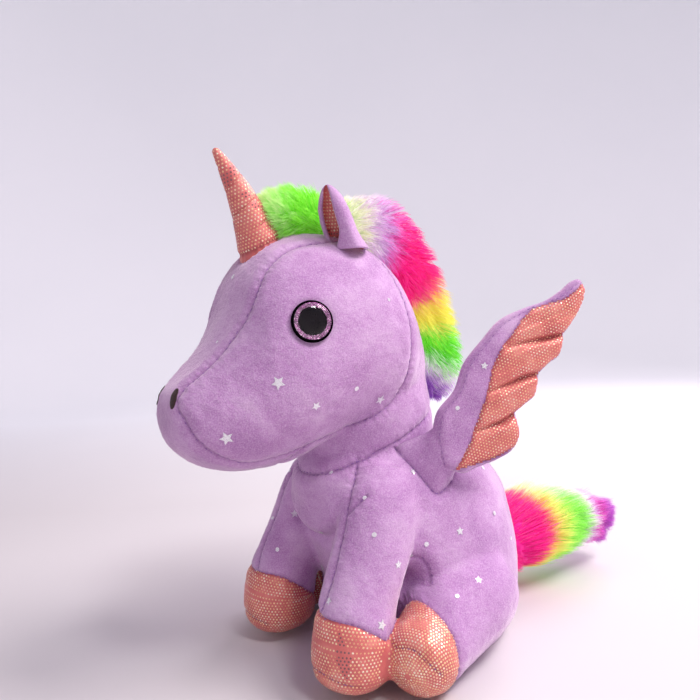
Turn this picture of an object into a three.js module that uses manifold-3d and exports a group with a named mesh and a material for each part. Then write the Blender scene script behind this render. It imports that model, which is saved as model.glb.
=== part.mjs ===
// A stuffed plush unicorn that sits with its front legs straight, its hind legs
// forward, and a pair of padded wings on its shoulders. Millimetres, +Z up.
// It faces -Y, its left side is +X, and it sits on the plane Z = 0. The shapes are
// drawn with Y = 0 under the neck, and the group moves them back to the seat's centre.
import * as THREE from 'three';
import { LoftGeometry } from 'three/addons/geometries/LoftGeometry.js';
import { mergeVertices } from 'three/addons/utils/BufferGeometryUtils.js';
import Module from 'manifold-3d';

const wasm = await Module();
wasm.setup();

// ---- driving dimensions -------------------------------------------------------

const FABRIC = 2;             // minky with its short nap
const GAP = 0.3;              // clear space kept between separate pieces
const TAIL_CLEAR = 0.9;       // between the tail's pile and the body, so that the tail can wag
const FILL_INSET = FABRIC + 0.9;
const SEAT_Y = 41;            // centre of the flat seat, which becomes the origin
const RING_Z = 110;           // seam where the neck meets the body
const NECK_TOP = 140;
const HIND_SEAM_TURN = 9;     // degrees that the hind hooves' seams turn outwards
const EYE_RADIUS = 9;         // 18 mm safety eye
const EYE_RIM = 1;            // width of the black rim round the glitter
const EYE_STEM_RADIUS = 2.2;
const EYE_WASHER_RADIUS = 8;
const HORN_BASE_RADIUS = 9.8;
const HORN_LENGTH = 51;
const WING_SPREAD = 25;       // degrees that a wing stands out from straight back
const WING_THICKNESS = 9;
const PILE_SIDES = 12;

// ---- colours and finishes -----------------------------------------------------

const LAVENDER = { color: 0xc39bd7, roughness: 0.9, metalness: 0 };
const CORAL = { color: 0xe08a86, roughness: 0.45, metalness: 0.3 };
const WADDING = { color: 0xf4f2ee, roughness: 1, metalness: 0 };
const PILE_GREEN = { color: 0x8df03a, roughness: 1, metalness: 0 };
const PILE_PINK = { color: 0xf02fb4, roughness: 1, metalness: 0 };
const BLACK_PLASTIC = { color: 0x0d0a0e, roughness: 0.25, metalness: 0 };
const GLITTER_PURPLE = { color: 0x9a3fa0, roughness: 0.35, metalness: 0.4 };
const CLEAR_PLASTIC = { color: 0xe9e4ee, roughness: 0.05, metalness: 0 };
const WHITE_PLASTIC = { color: 0xdedede, roughness: 0.5, metalness: 0 };
const DARK_THREAD = { color: 0x2a1512, roughness: 0.8, metalness: 0 };
const CORAL_THREAD = { color: 0xc4625f, roughness: 0.8, metalness: 0 };

// ---- solids -------------------------------------------------------------------

const X = new THREE.Vector3(1, 0, 0);
const Y = new THREE.Vector3(0, 1, 0);
const Z = new THREE.Vector3(0, 0, 1);

function vec(x, y, z) {
  return new THREE.Vector3(x, y, z);
}

// a closed three.js geometry as a solid that can be cut and joined
function solid(geometry, matrix) {
  geometry.deleteAttribute('normal');
  geometry.deleteAttribute('uv');
  if (matrix) geometry.applyMatrix4(matrix);
  const merged = mergeVertices(geometry, 1e-4);
  const result = new wasm.Manifold(new wasm.Mesh({
    numProp: 3,
    vertProperties: new Float32Array(merged.attributes.position.array),
    triVerts: new Uint32Array(merged.index.array),
  }));
  return result;
}

// the biggest of the separate lumps that a cut leaves
function largest(piece) {
  const lumps = piece.decompose();
  return lumps.reduce((best, lump) => (lump.volume() > best.volume() ? lump : best));
}

function box(x0, x1, y0, y1, z0, z1) {
  const geometry = new THREE.BoxGeometry(x1 - x0, y1 - y0, z1 - z0);
  geometry.translate((x0 + x1) / 2, (y0 + y1) / 2, (z0 + z1) / 2);
  return solid(geometry);
}

// an oval ring of points: half width a along u, half height b along v
function ring(centre, u, v, a, b, sides, squareness = 2) {
  const points = [];
  for (let i = 0; i < sides; i++) {
    const angle = (i / sides) * 2 * Math.PI;
    const c = Math.cos(angle);
    const s = Math.sin(angle);
    const x = Math.sign(c) * Math.abs(c) ** (2 / squareness) * a;
    const y = Math.sign(s) * Math.abs(s) ** (2 / squareness) * b;
    points.push(centre.clone().addScaledVector(u, x).addScaledVector(v, y));
  }
  return points;
}

function loft(sections) {
  const skin = new LoftGeometry(sections, { capStart: true, capEnd: true });
  return solid(new THREE.BufferGeometry().copy(skin));
}

// a limb with round sections square to its path; each stop is [x, y, z, radius]
function limb(stops, inset, sides = LIMB_SIDES) {
  const centres = stops.map(([x, y, z]) => vec(x, y, z));
  const sections = stops.map((stop, i) => {
    const before = centres[Math.max(i - 1, 0)];
    const after = centres[Math.min(i + 1, stops.length - 1)];
    const along = after.clone().sub(before).normalize();
    const u = Math.abs(along.z) > 0.8 ? X.clone() : Z.clone();
    u.addScaledVector(along, -u.dot(along)).normalize();
    const v = along.clone().cross(u);
    const radius = Math.max(stop[3] - inset, 0.6);
    const end = i === 0 ? inset : i === stops.length - 1 ? -inset : 0;
    const centre = centres[i].clone().addScaledVector(along, end);
    return ring(centre, u, v, radius, radius, sides);
  });
  return loft(sections);
}

function mirrorStops(stops) {
  return stops.map(([x, ...rest]) => [-x, ...rest]);
}

// an outline in one coordinate plane, given thickness along the third axis
function prism(outline, plane, from, to) {
  const shape = new THREE.Shape(outline.map(([p, q]) => new THREE.Vector2(p, q)));
  const geometry = new THREE.ExtrudeGeometry(shape, { depth: to - from, bevelEnabled: false });
  geometry.translate(0, 0, from);
  const matrix = new THREE.Matrix4();
  if (plane === 'yz') matrix.makeBasis(Y, Z, X);
  return solid(geometry, matrix);
}

// ---- body: torso, legs and hooves -----------------------------------------------

// torso sections: height, centre y, half width, half length
const TORSO = [
  [0, SEAT_Y, 40, 34], [5, 41, 49, 43], [18, 40, 54, 49.5], [35, 38, 55.5, 54],
  [52, 35.5, 54.5, 57], [68, 31, 52, 59], [82, 27.5, 49, 60], [93, 22.5, 44.5, 57],
  [102, 17, 39.5, 48], [RING_Z, 10, 34, 37],
];
const FRONT_LEG = [
  [26, 2, 98, 16], [30, -6, 84, 20], [34, -15, 64, 19.5], [38, -28, 38, 18.6],
  [39.5, -31, 28, 20], [40, -32, 18.5, 20.4], [40, -32.5, 10.5, 18.8], [40, -32.5, 5.5, 14],
];
const HIND_LEG = [
  [27, 55, 32, 20], [35, 45, 31, 27], [44, 31, 28.5, 26.5], [51, 17, 25, 23], [57, 4, 21.5, 19.8],
  [60.5, -4, 19.5, 18.2], [64, -12, 18.6, 17.2], [67, -19, 18.2, 12.5], [68.8, -23, 18, 4],
];
const BODY_SIDES = 18;
const LIMB_SIDES = 12;

function torsoSolid(inset) {
  return loft(TORSO.map(([z, y, a, c]) => {
    return ring(vec(0, y, Math.max(z, inset)), X, Y, a - inset, c - inset, BODY_SIDES, 2.15);
  }));
}

function bodySolid(inset) {
  const floor = box(-120, 120, -80, 140, inset, RING_Z + 30);
  return torsoSolid(inset)
    .add(limb(FRONT_LEG, inset))
    .add(limb(mirrorStops(FRONT_LEG), inset))
    .add(limb(HIND_LEG, inset))
    .add(limb(mirrorStops(HIND_LEG), inset))
    .intersect(floor);
}

// the seam round the top of a front hoof, y and z: level in front, lower behind
const FRONT_HOOF_SEAM = [[-80, 40.5], [-43, 40.5], [-30, 32.5], [-12, 20], [6, 8]];

// the space that holds one hoof: below the front seam, or past the hind seam
function hoofZone(front, side, grow) {
  const stops = front ? FRONT_LEG : HIND_LEG;
  const leg = limb(side > 0 ? stops : mirrorStops(stops), -1 - grow);
  if (front) {
    const edge = FRONT_HOOF_SEAM.map(([y, z]) => [y, z + grow]);
    return leg.intersect(prism([...edge, [6, -5], [-80, -5]], 'yz', -80, 80));
  }
  const seam = new THREE.Matrix4().makeRotationZ(side * THREE.MathUtils.degToRad(HIND_SEAM_TURN));
  seam.setPosition(side * 60, grow - 0.6, 22);
  const block = new THREE.BoxGeometry(64, 60, 60);
  block.translate(0, -30, 0);
  return leg.intersect(solid(block, seam)).subtract(hoofZone(true, side, GAP));
}

const bodyOuter = bodySolid(0);
const bodySkin = bodyOuter.subtract(bodySolid(FABRIC));
const hoofZones = [];
for (const front of [true, false]) {
  for (const side of [1, -1]) hoofZones.push({ front, side });
}

function hoof({ front, side }) {
  return bodySkin.intersect(hoofZone(front, side, 0));
}

let upperSkin = bodySkin;
for (const zone of hoofZones) upperSkin = upperSkin.subtract(hoofZone(zone.front, zone.side, GAP));

// chest and belly panel: the front between the leg seams, then a strip under the rump
function bellyZone(grow) {
  const chest = box(-27 - grow, 27 + grow, -80, 6 + grow, -5, 140);
  const strip = prism(
    [[-27 - grow, 0], [27 + grow, 0], [12 + grow, 92 + grow], [-12 - grow, 92 + grow]],
    'xy', -5, 12 + grow,
  );
  return chest.add(strip);
}

const bellyPanel = upperSkin.intersect(bellyZone(0));
const sides = upperSkin.subtract(bellyZone(GAP));
const bodyFilling = bodySolid(FILL_INSET)
  .intersect(box(-120, 120, -80, 140, FILL_INSET, RING_Z - 1));

// ---- head -----------------------------------------------------------------------

// head sections from nose to nape: y, bottom z, top z, half width, squareness
const HEAD = [
  [-103.5, 131, 142, 7, 2], [-102, 125, 148, 15.5, 2.1], [-98, 119.5, 152.5, 22.5, 2.2],
  [-91, 113.5, 159, 28.5, 2.2], [-81, 109.5, 168.5, 34, 2.2], [-70.5, 107.5, 185, 39.5, 2.15],
  [-62.5, 107, 205, 43.5, 2.1], [-53, 107.5, 215.5, 47, 2.1], [-39, 110.2, 221.5, 49.5, 2.1],
  [-23, 117.2, 222.5, 50.5, 2.1], [-6, 120, 219.5, 49.5, 2.1], [9, 122, 210, 45, 2.1],
  [20, 124, 195.5, 37, 2.1], [30, 129, 177, 26.5, 2.05], [36.5, 136, 165, 16, 2],
  [39, 143, 157, 7, 2],
];
const HEAD_SIDES = 18;

function headSolid(inset) {
  const nose = HEAD[0][0];
  const nape = HEAD[HEAD.length - 1][0];
  return loft(HEAD.map(([y, bottom, top, a, squareness]) => {
    const shift = inset * (1 - 2 * (y - nose) / (nape - nose));
    const centre = vec(0, y + shift, (bottom + top) / 2);
    const half = Math.max((top - bottom) / 2 - inset, 1);
    return ring(centre, X, Z, Math.max(a - inset, 1), half, HEAD_SIDES, squareness);
  }).reverse());
}

const EYE_CENTRE = vec(45.9, -47.5, 178);
const EYE_NORMAL = vec(0.945, -0.29, 0.15).normalize();

// a cylinder round the eye's axis, from one height above the skin to another
function eyeCylinder(side, radius, from, to, segments = 20) {
  const geometry = new THREE.CylinderGeometry(radius, radius, to - from, segments);
  geometry.translate(0, (from + to) / 2, 0);
  return solid(geometry, eyeMatrix(side));
}

function eyeMatrix(side) {
  const normal = vec(side * EYE_NORMAL.x, EYE_NORMAL.y, EYE_NORMAL.z);
  const turn = new THREE.Quaternion().setFromUnitVectors(Y, normal);
  const place = vec(side * EYE_CENTRE.x, EYE_CENTRE.y, EYE_CENTRE.z);
  return new THREE.Matrix4().compose(place, turn, vec(1, 1, 1));
}

const EYE_SEAT = -0.9;        // the seat pressed into the skin, along the eye's axis
const EYE_BACK_TOP = 1.1;
const EYE_IRIS_TOP = 1.7;
const EYE_DOME_TOP = 4.6;
const EYE_STEM_END = -9;

function cutForEyes(skin) {
  let result = skin;
  for (const side of [1, -1]) {
    result = result
      .subtract(eyeCylinder(side, EYE_RADIUS + GAP, EYE_SEAT, 8))
      .subtract(eyeCylinder(side, EYE_STEM_RADIUS + GAP, EYE_STEM_END - 6, 2, 8));
  }
  return result;
}

const headOuter = headSolid(0);
const headSkin = cutForEyes(headOuter.subtract(headSolid(FABRIC)));

// the strip that runs over the head from nose to nape, seen from above
const GUSSET_HALF = [
  [52, 9], [30, 14], [0, 19], [-40, 20.5], [-62, 19], [-82, 16.5], [-96, 13], [-112, 8],
];

function gussetZone(grow) {
  const right = GUSSET_HALF.map(([y, half]) => [half + grow, y]);
  const left = GUSSET_HALF.map(([y, half]) => [-half - grow, y]).reverse();
  return prism([...right, ...left], 'xy', 143 - grow, 260);
}

// the chin and nose panel, seen from the side: below the mouth seam
function chinZone(grow) {
  const seam = [
    [-112, 143], [-101, 141.5], [-97, 131.5], [-90, 124],
    [-81, 118.5], [-70, 116.5], [-50, 116], [-36, 114],
  ];
  const edge = seam.map(([y, z]) => [y + grow, z + grow]);
  return prism([...edge, [-36 + grow, 90], [-112, 90]], 'yz', -70, 70)
    .subtract(gussetZone(GAP));
}

// the neck and nape panels lie behind the cheek seam
function napeZone(grow) {
  const seam = [
    [-60, 104], [-34, 121], [-14, 131], [-4, 139], [2, 150], [6, 163], [12, 180], [24, 230],
  ];
  const edge = seam.map(([y, z]) => [y - grow, z + grow]);
  return prism([...edge, [80, 230], [80, 90], [-60, 90]], 'yz', -70, 70)
    .subtract(gussetZone(GAP))
    .subtract(chinZone(GAP));
}

const gussetPanel = headSkin.intersect(gussetZone(0));
const chinPanel = headSkin.intersect(chinZone(0));
const napeSkin = headSkin.intersect(napeZone(0));
const cheekSkin = headSkin
  .subtract(gussetZone(GAP))
  .subtract(chinZone(GAP))
  .subtract(napeZone(GAP));

let headFilling = headSolid(FILL_INSET);
for (const side of [1, -1]) {
  const room = eyeCylinder(side, EYE_WASHER_RADIUS + 1, EYE_STEM_END - 1, 0, 12);
  headFilling = headFilling.subtract(room);
}

// one side of a skin that is cut down the middle, without its loose scraps
function half(skin, side) {
  const reach = 130;
  const inner = GAP / 2;
  return largest(skin.intersect(side > 0
    ? box(inner, reach, -reach, reach, -10, 260)
    : box(-reach, -inner, -reach, reach, -10, 260)));
}

// ---- neck: the soft ring between the head and the body ------------------------------

const headKeepOut = headSolid(-GAP);

function neckSolid(inset, extra = 0) {
  const stops = [
    [RING_Z + GAP - extra, 10, 34, 37], [117, 7.5, 36, 37],
    [127, 5, 38, 37.5], [NECK_TOP + extra, 3, 38, 36],
  ];
  return loft(stops.map(([z, y, a, c]) => {
    return ring(vec(0, y, z), X, Y, a - inset, c - inset, BODY_SIDES, 2.15);
  }));
}

const neckBand = neckSolid(0).subtract(neckSolid(FABRIC, 1)).subtract(headKeepOut);
const neckFilling = neckSolid(FILL_INSET)
  .intersect(box(-60, 60, -60, 80, RING_Z + GAP, NECK_TOP - 3))
  .subtract(headKeepOut);

// ---- eyes -------------------------------------------------------------------------

function eyeDome(side) {
  const profile = [new THREE.Vector2(0, EYE_IRIS_TOP + GAP)];
  profile.push(new THREE.Vector2(EYE_RADIUS - 0.9, EYE_IRIS_TOP + GAP));
  const steps = 5;
  for (let i = 0; i <= steps; i++) {
    const angle = (i / steps) * Math.PI / 2;
    const rise = EYE_DOME_TOP - EYE_IRIS_TOP - 1;
    profile.push(new THREE.Vector2(
      i === steps ? 0 : (EYE_RADIUS - 0.9) * Math.cos(angle),
      EYE_IRIS_TOP + 1 + rise * Math.sin(angle),
    ));
  }
  return solid(new THREE.LatheGeometry(profile, 20), eyeMatrix(side));
}

function eyeIris(side) {
  return eyeCylinder(side, EYE_RADIUS - EYE_RIM, EYE_BACK_TOP + GAP, EYE_IRIS_TOP);
}

function eyeBack(side) {
  const cup = eyeCylinder(side, EYE_RADIUS, EYE_SEAT + GAP, EYE_IRIS_TOP + GAP);
  const hollow = eyeCylinder(side, EYE_RADIUS - EYE_RIM + GAP, EYE_BACK_TOP, 8);
  const stem = eyeCylinder(side, EYE_STEM_RADIUS, EYE_STEM_END, 0, 12);
  return cup.subtract(hollow).add(stem);
}

function eyeWasher(side) {
  const plate = eyeCylinder(side, EYE_WASHER_RADIUS, -6.4, -4.9);
  return plate.subtract(eyeCylinder(side, EYE_STEM_RADIUS + GAP, -9, 0, 12));
}

// ---- horn -------------------------------------------------------------------------

const HORN_BASE = vec(0, -49.5, 216.5);
const HORN_LEAN = vec(0, -0.404, 0.915).normalize();
const HORN_BOW = 2.4;         // how far its middle stands back, so that the tip leans forward

function hornCentre(t) {
  const bow = HORN_BOW * Math.sin(Math.PI * t);
  return HORN_BASE.clone().addScaledVector(HORN_LEAN, HORN_LENGTH * t).addScaledVector(Y, bow);
}

function hornRadius(t) {
  return HORN_BASE_RADIUS * (1 - t) ** 0.88 + 1.1;
}

function hornSolid(inset, steps = 6) {
  const stops = [];
  for (let i = 0; i <= steps; i++) {
    const t = i / steps;
    const at = hornCentre(t * (1 - inset / HORN_LENGTH * 2));
    stops.push([at.x, at.y, at.z, hornRadius(t) - inset]);
  }
  return limb(stops, 0, 12).subtract(headKeepOut);
}

const hornInner = hornSolid(1.6);
const hornShell = hornSolid(0).subtract(hornInner).subtract(
  limb([[0, -48, 207, 6.5], [0, -50.5, 222.5, 6.5]], 0, 8),
);
const hornFilling = hornSolid(2.2);

const THREAD_RADIUS = 0.5;
const THREAD_RISE = 1;        // from the horn's skin to the thread's centre
const THREAD_TURNS = 2.6;
const THREAD_START = 0.2;     // shares of the horn's length
const THREAD_END = 0.82;

// one thread, wound round the horn from near its base to near its tip
class HornWinding extends THREE.Curve {
  getPoint(t, target = new THREE.Vector3()) {
    const along = THREAD_START + (THREAD_END - THREAD_START) * t;
    const angle = t * THREAD_TURNS * 2 * Math.PI;
    const v = HORN_LEAN.clone().cross(X);
    const radius = hornRadius(along) + THREAD_RISE;
    return target.copy(hornCentre(along))
      .addScaledVector(X, radius * Math.cos(angle))
      .addScaledVector(v, radius * Math.sin(angle));
  }
}

function roundShape(radius, sides) {
  const points = [];
  for (let i = 0; i < sides; i++) {
    const angle = (i / sides) * 2 * Math.PI;
    points.push(new THREE.Vector2(radius * Math.cos(angle), radius * Math.sin(angle)));
  }
  return new THREE.Shape(points);
}

const hornThread = solid(new THREE.ExtrudeGeometry(roundShape(THREAD_RADIUS, 5), {
  extrudePath: new HornWinding(), steps: 34, bevelEnabled: false,
}));

// ---- ears -------------------------------------------------------------------------

const EAR_ROOT = vec(28, -18, 213);
const EAR_HEIGHT = 31;
const EAR_CLEARANCE = 2.6;    // room under an ear, so that it can fold
const earKeepOut = headSolid(-EAR_CLEARANCE);
const EAR_OUTLINE = [
  [-11.5, 0], [-12, 8], [-11, 17], [-8.5, 25], [-2.5, EAR_HEIGHT],
  [4, 28.5], [8.5, 20], [11.5, 9], [12.5, 0],
];

// an ear leaf: its outline between two depths, facing forward and a little outward
function earMatrix(side) {
  const turn = new THREE.Matrix4().makeRotationZ(side * THREE.MathUtils.degToRad(38));
  turn.multiply(new THREE.Matrix4().makeRotationY(side * THREE.MathUtils.degToRad(9)));
  turn.setPosition(side * EAR_ROOT.x, EAR_ROOT.y, EAR_ROOT.z);
  return turn;
}

function earLeaf(side, scale, front, back) {
  const outline = EAR_OUTLINE.map(([x, z]) => new THREE.Vector2(side * x * scale, z * scale));
  const shape = new THREE.Shape(outline);
  const geometry = new THREE.ExtrudeGeometry(shape, { depth: back - front, bevelEnabled: false });
  const upright = new THREE.Matrix4().makeBasis(X, Z, vec(0, -1, 0));
  upright.setPosition(0, back, 0);
  return solid(geometry, earMatrix(side).multiply(upright)).subtract(earKeepOut);
}

function earLining(side) {
  return earLeaf(side, 0.84, -3.4, -1.9);
}

function earOuter(side) {
  const cup = earLeaf(side, 1, -4.2, 4.5);
  return largest(cup.subtract(earLeaf(side, 0.9, -6, -1.6)));
}

// ---- fur: forelock, mane and tail -------------------------------------------------

// a lock of fur as a closed tapering body; each stop is [y, z, half width, half depth]
function lock(stops, x = 0, sides = PILE_SIDES) {
  return loft(stops.map((stop, i) => {
    const before = stops[Math.max(i - 1, 0)];
    const after = stops[Math.min(i + 1, stops.length - 1)];
    const along = vec(0, after[0] - before[0], after[1] - before[1]).normalize();
    const v = along.clone().cross(X);
    return ring(vec(x, stop[0], stop[1]), X, v, stop[2], stop[3], sides);
  }));
}

const FORELOCK = [
  [-15, 226, 11, 11], [-22, 229.5, 13, 14], [-31, 230.5, 13, 13.5],
  [-39, 231, 11, 11], [-45, 231, 7, 7],
];
const MANE_BACKING = [
  [-4, 221, 9, 1.2], [10.5, 211.5, 9, 1.2], [21.6, 197, 9, 1.2], [31.7, 178.5, 9, 1.2],
  [38.2, 166, 9, 1.2], [41, 157, 9, 1.2], [41, 143, 8, 1.2],
];
const MANE = [
  [-8, 226, 10, 8], [4, 229, 15, 14], [17, 227, 18, 17], [29.5, 215, 19, 17], [39, 199, 20, 17],
  [46, 179, 20, 16], [52, 160, 19, 15.5], [54, 144, 15, 14], [51, 130, 8, 8],
];

const hornKeepOut = hornSolid(-THREAD_RISE - THREAD_RADIUS - GAP);
const forelock = lock(FORELOCK).subtract(headKeepOut).subtract(hornKeepOut);
const maneBacking = lock(MANE_BACKING, 0, 12).subtract(headKeepOut);
const backingKeepOut = lock(
  MANE_BACKING.map(([y, z, a, b]) => [y, z, a + GAP, b + GAP]), 0, 12,
);
const manePile = lock(MANE).subtract(headKeepOut).subtract(backingKeepOut);

const TAIL_CORE = [
  [94.5, 32, 6, 6], [112, 34, 7, 7], [130, 36, 6, 6], [150, 36, 4, 4], [168, 35, 2, 2],
];
const TAIL = [
  [97.5, 31, 13, 19], [104, 33, 18.4, 24], [113, 35, 22, 27], [130, 37.5, 22, 24],
  [150, 36.5, 19.5, 20], [168, 35, 16, 16.5], [182, 33, 12, 13], [193, 31, 5, 6],
];
const tailCore = lock(TAIL_CORE).subtract(bodySolid(-GAP));
const tailPile = lock(TAIL)
  .subtract(lock(TAIL_CORE.map(([y, z, a, b]) => [y, z, a + GAP, b + GAP])))
  .subtract(bodySolid(-TAIL_CLEAR))
  .intersect(box(-60, 60, 95, 260, 0.4, 90));

// ---- wings ------------------------------------------------------------------------

const WING_ROOT = vec(49, 25, 90);
const WING_FOOT = 8.5;        // height above the root where the wing clears the body

// wing outlines in its own plane: distance out from the root, height above the root
const WING_LEADING = [
  [2, WING_FOOT], [-5, 11], [-7.5, 20], [-8, 30], [-6, 38], [3, 50.5], [17, 72],
  [28, 82.5], [42, 88.5], [58, 94], [70, 101], [74.5, 96.5],
];
const WING_LOBES = [
  [71, 85.5], [62, 74.2], [59.5, 63], [48.2, 55], [46, 43.5], [35, 36], [37, 26],
  [33.5, 17.5], [25, 12.5], [15, 10],
];
const WING_ARM = [
  [4, 10.5], [9, 21], [13.5, 32], [20, 48.5], [27.5, 68], [42, 86], [60, 90], [70, 95],
];

// moves every corner of an outline inwards by the same distance
function shrink(outline, distance) {
  const count = outline.length;
  const area = outline.reduce((sum, [x, y], i) => {
    const [nx, ny] = outline[(i + 1) % count];
    return sum + x * ny - nx * y;
  }, 0);
  const turn = Math.sign(area);
  return outline.map((corner, i) => {
    const here = new THREE.Vector2(...corner);
    const before = new THREE.Vector2(...outline[(i + count - 1) % count]);
    const after = new THREE.Vector2(...outline[(i + 1) % count]);
    const first = here.clone().sub(before).normalize();
    const second = after.clone().sub(here).normalize();
    const bisector = new THREE.Vector2(-first.y - second.y, first.x + second.x).normalize();
    const slope = Math.max(bisector.x * -first.y + bisector.y * first.x, 0.5);
    here.addScaledVector(bisector, turn * distance / slope);
    return [here.x, here.y];
  });
}

function wingMatrix(side) {
  const spread = THREE.MathUtils.degToRad(WING_SPREAD);
  const out = vec(side * Math.sin(spread), Math.cos(spread), 0);
  const face = out.clone().cross(Z);
  const matrix = new THREE.Matrix4().makeBasis(out, Z, face);
  matrix.setPosition(side * WING_ROOT.x, WING_ROOT.y, WING_ROOT.z);
  return matrix;
}

// a slab of the wing between two depths, where larger depths face outwards
function wingSlab(side, outline, from, to) {
  const [low, high] = side > 0 ? [from, to] : [-to, -from];
  const shape = new THREE.Shape(outline.map(([p, q]) => new THREE.Vector2(p, q)));
  const geometry = new THREE.ExtrudeGeometry(shape, { depth: high - low, bevelEnabled: false });
  geometry.translate(0, 0, low);
  return solid(geometry, wingMatrix(side));
}

const WING_FULL = [...WING_LEADING, ...WING_LOBES];
const WING_MEMBRANE = [...WING_ARM, ...WING_LOBES.slice(0, -1), [15, 11.5]];
const WING_HALF = WING_THICKNESS / 2;
const WING_HOLLOW = WING_HALF - FABRIC + 0.3;

function wingMembrane(side) {
  return wingSlab(side, shrink(WING_MEMBRANE, 1.2), WING_HOLLOW + GAP, WING_HALF);
}

function wingBack(side) {
  return wingSlab(side, WING_FULL, -WING_HALF, WING_HALF)
    .subtract(wingSlab(side, shrink(WING_FULL, FABRIC), -WING_HOLLOW, WING_HOLLOW))
    .subtract(wingSlab(side, shrink(WING_MEMBRANE, 0.9), 0, WING_HALF + 1));
}

function wingBatting(side) {
  return wingSlab(side, shrink(WING_FULL, FABRIC + 0.9), -WING_HOLLOW + GAP, WING_HOLLOW - GAP);
}

// the flared base of the wing, sewn flat on the shoulder
function wingRoot(side) {
  const outline = [[3, 106.5], [18, 86], [33, 96], [28, 106.5]];
  const reach = side > 0 ? [10, 80] : [-80, -10];
  return torsoSolid(-FABRIC - GAP)
    .subtract(torsoSolid(-GAP))
    .intersect(prism(outline, 'yz', ...reach));
}

// ---- embroidered nostrils -----------------------------------------------------------

const NOSTRIL = vec(10.5, -100.5, 147);

function nostril(side) {
  const ball = new THREE.SphereGeometry(1, 12, 8);
  const place = new THREE.Matrix4().compose(
    vec(side * NOSTRIL.x, NOSTRIL.y, NOSTRIL.z),
    new THREE.Quaternion().setFromAxisAngle(X, -0.7),
    vec(1.8, 2.2, 5),
  );
  return solid(ball, place).subtract(headKeepOut);
}

// ---- the assembled toy ----------------------------------------------------------------

const unicorn = new THREE.Group();
unicorn.position.y = -SEAT_Y;

function add(name, piece, finish) {
  const mesh = piece.getMesh();
  const geometry = new THREE.BufferGeometry();
  const positions = Float32Array.from(mesh.vertProperties);
  const corners = Uint32Array.from(mesh.triVerts);
  geometry.setAttribute('position', new THREE.BufferAttribute(positions, 3));
  geometry.setIndex(new THREE.BufferAttribute(corners, 1));
  geometry.computeVertexNormals();
  const node = new THREE.Mesh(geometry, new THREE.MeshStandardMaterial(finish));
  node.name = name;
  unicorn.add(node);
}

add('chest_belly_panel', bellyPanel, LAVENDER);
add('body_filling', bodyFilling, WADDING);
add('neck_band', neckBand, LAVENDER);
add('neck_filling', neckFilling, WADDING);
add('head_gusset', gussetPanel, LAVENDER);
add('chin_panel', chinPanel, LAVENDER);
add('head_filling', headFilling, WADDING);
add('horn_shell', hornShell, CORAL);
add('horn_filling', hornFilling, WADDING);
add('horn_thread', hornThread, CORAL_THREAD);
add('forelock', forelock, PILE_GREEN);
add('mane_backing', maneBacking, PILE_PINK);
add('mane_pile', manePile, PILE_PINK);
add('tail_core', tailCore, LAVENDER);
add('tail_pile', tailPile, PILE_PINK);

for (const [side, hand] of [[1, 'left'], [-1, 'right']]) {
  add(`body_side_${hand}`, half(sides, side), LAVENDER);
  add(`head_side_${hand}`, half(cheekSkin, side), LAVENDER);
  add(`nape_panel_${hand}`, half(napeSkin, side), LAVENDER);
  add(`eye_dome_${hand}`, eyeDome(side), CLEAR_PLASTIC);
  add(`eye_iris_${hand}`, eyeIris(side), GLITTER_PURPLE);
  add(`eye_back_${hand}`, eyeBack(side), BLACK_PLASTIC);
  add(`eye_washer_${hand}`, eyeWasher(side), WHITE_PLASTIC);
  add(`nostril_${hand}`, nostril(side), DARK_THREAD);
  add(`ear_outer_${hand}`, earOuter(side), LAVENDER);
  add(`ear_lining_${hand}`, earLining(side), CORAL);
  add(`wing_root_${hand}`, wingRoot(side), LAVENDER);
  add(`wing_back_${hand}`, wingBack(side), LAVENDER);
  add(`wing_membrane_${hand}`, wingMembrane(side), CORAL);
  add(`wing_batting_${hand}`, wingBatting(side), WADDING);
}
for (const zone of hoofZones) {
  const name = `hoof_${zone.front ? 'front' : 'hind'}_${zone.side > 0 ? 'left' : 'right'}`;
  add(name, hoof(zone), CORAL);
}

export default unicorn;
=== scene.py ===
# A stuffed plush unicorn with wings. The shapes are worked out in millimetres with Y = 0
# under the neck, as in the CAD source, and become metres about the seat's centre at the end.
from math import cos, exp, pi, radians, sin, sqrt

import bpy
import numpy as np
from mathutils import Matrix, Vector
from mathutils.bvhtree import BVHTree
from mathutils.kdtree import KDTree


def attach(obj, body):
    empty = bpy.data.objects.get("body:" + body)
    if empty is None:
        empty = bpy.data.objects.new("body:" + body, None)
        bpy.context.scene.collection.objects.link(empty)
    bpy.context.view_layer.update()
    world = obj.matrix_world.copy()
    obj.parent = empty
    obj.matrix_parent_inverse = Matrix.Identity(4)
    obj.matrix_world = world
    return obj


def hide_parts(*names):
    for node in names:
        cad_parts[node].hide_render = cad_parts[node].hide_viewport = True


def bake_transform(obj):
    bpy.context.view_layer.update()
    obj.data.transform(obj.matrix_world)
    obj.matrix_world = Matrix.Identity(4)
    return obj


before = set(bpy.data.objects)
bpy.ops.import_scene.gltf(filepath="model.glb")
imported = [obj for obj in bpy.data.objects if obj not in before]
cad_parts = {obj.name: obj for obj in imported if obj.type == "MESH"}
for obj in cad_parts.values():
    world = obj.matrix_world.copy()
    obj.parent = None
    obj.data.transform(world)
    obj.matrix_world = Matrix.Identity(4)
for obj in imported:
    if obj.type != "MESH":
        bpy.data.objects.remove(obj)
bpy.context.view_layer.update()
rng = np.random.default_rng(20)

SEAT_Y = 41.0
SIDES = {"left": 1, "right": -1}

# ---- the object's sizes, mm -------------------------------------------------------------

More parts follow.
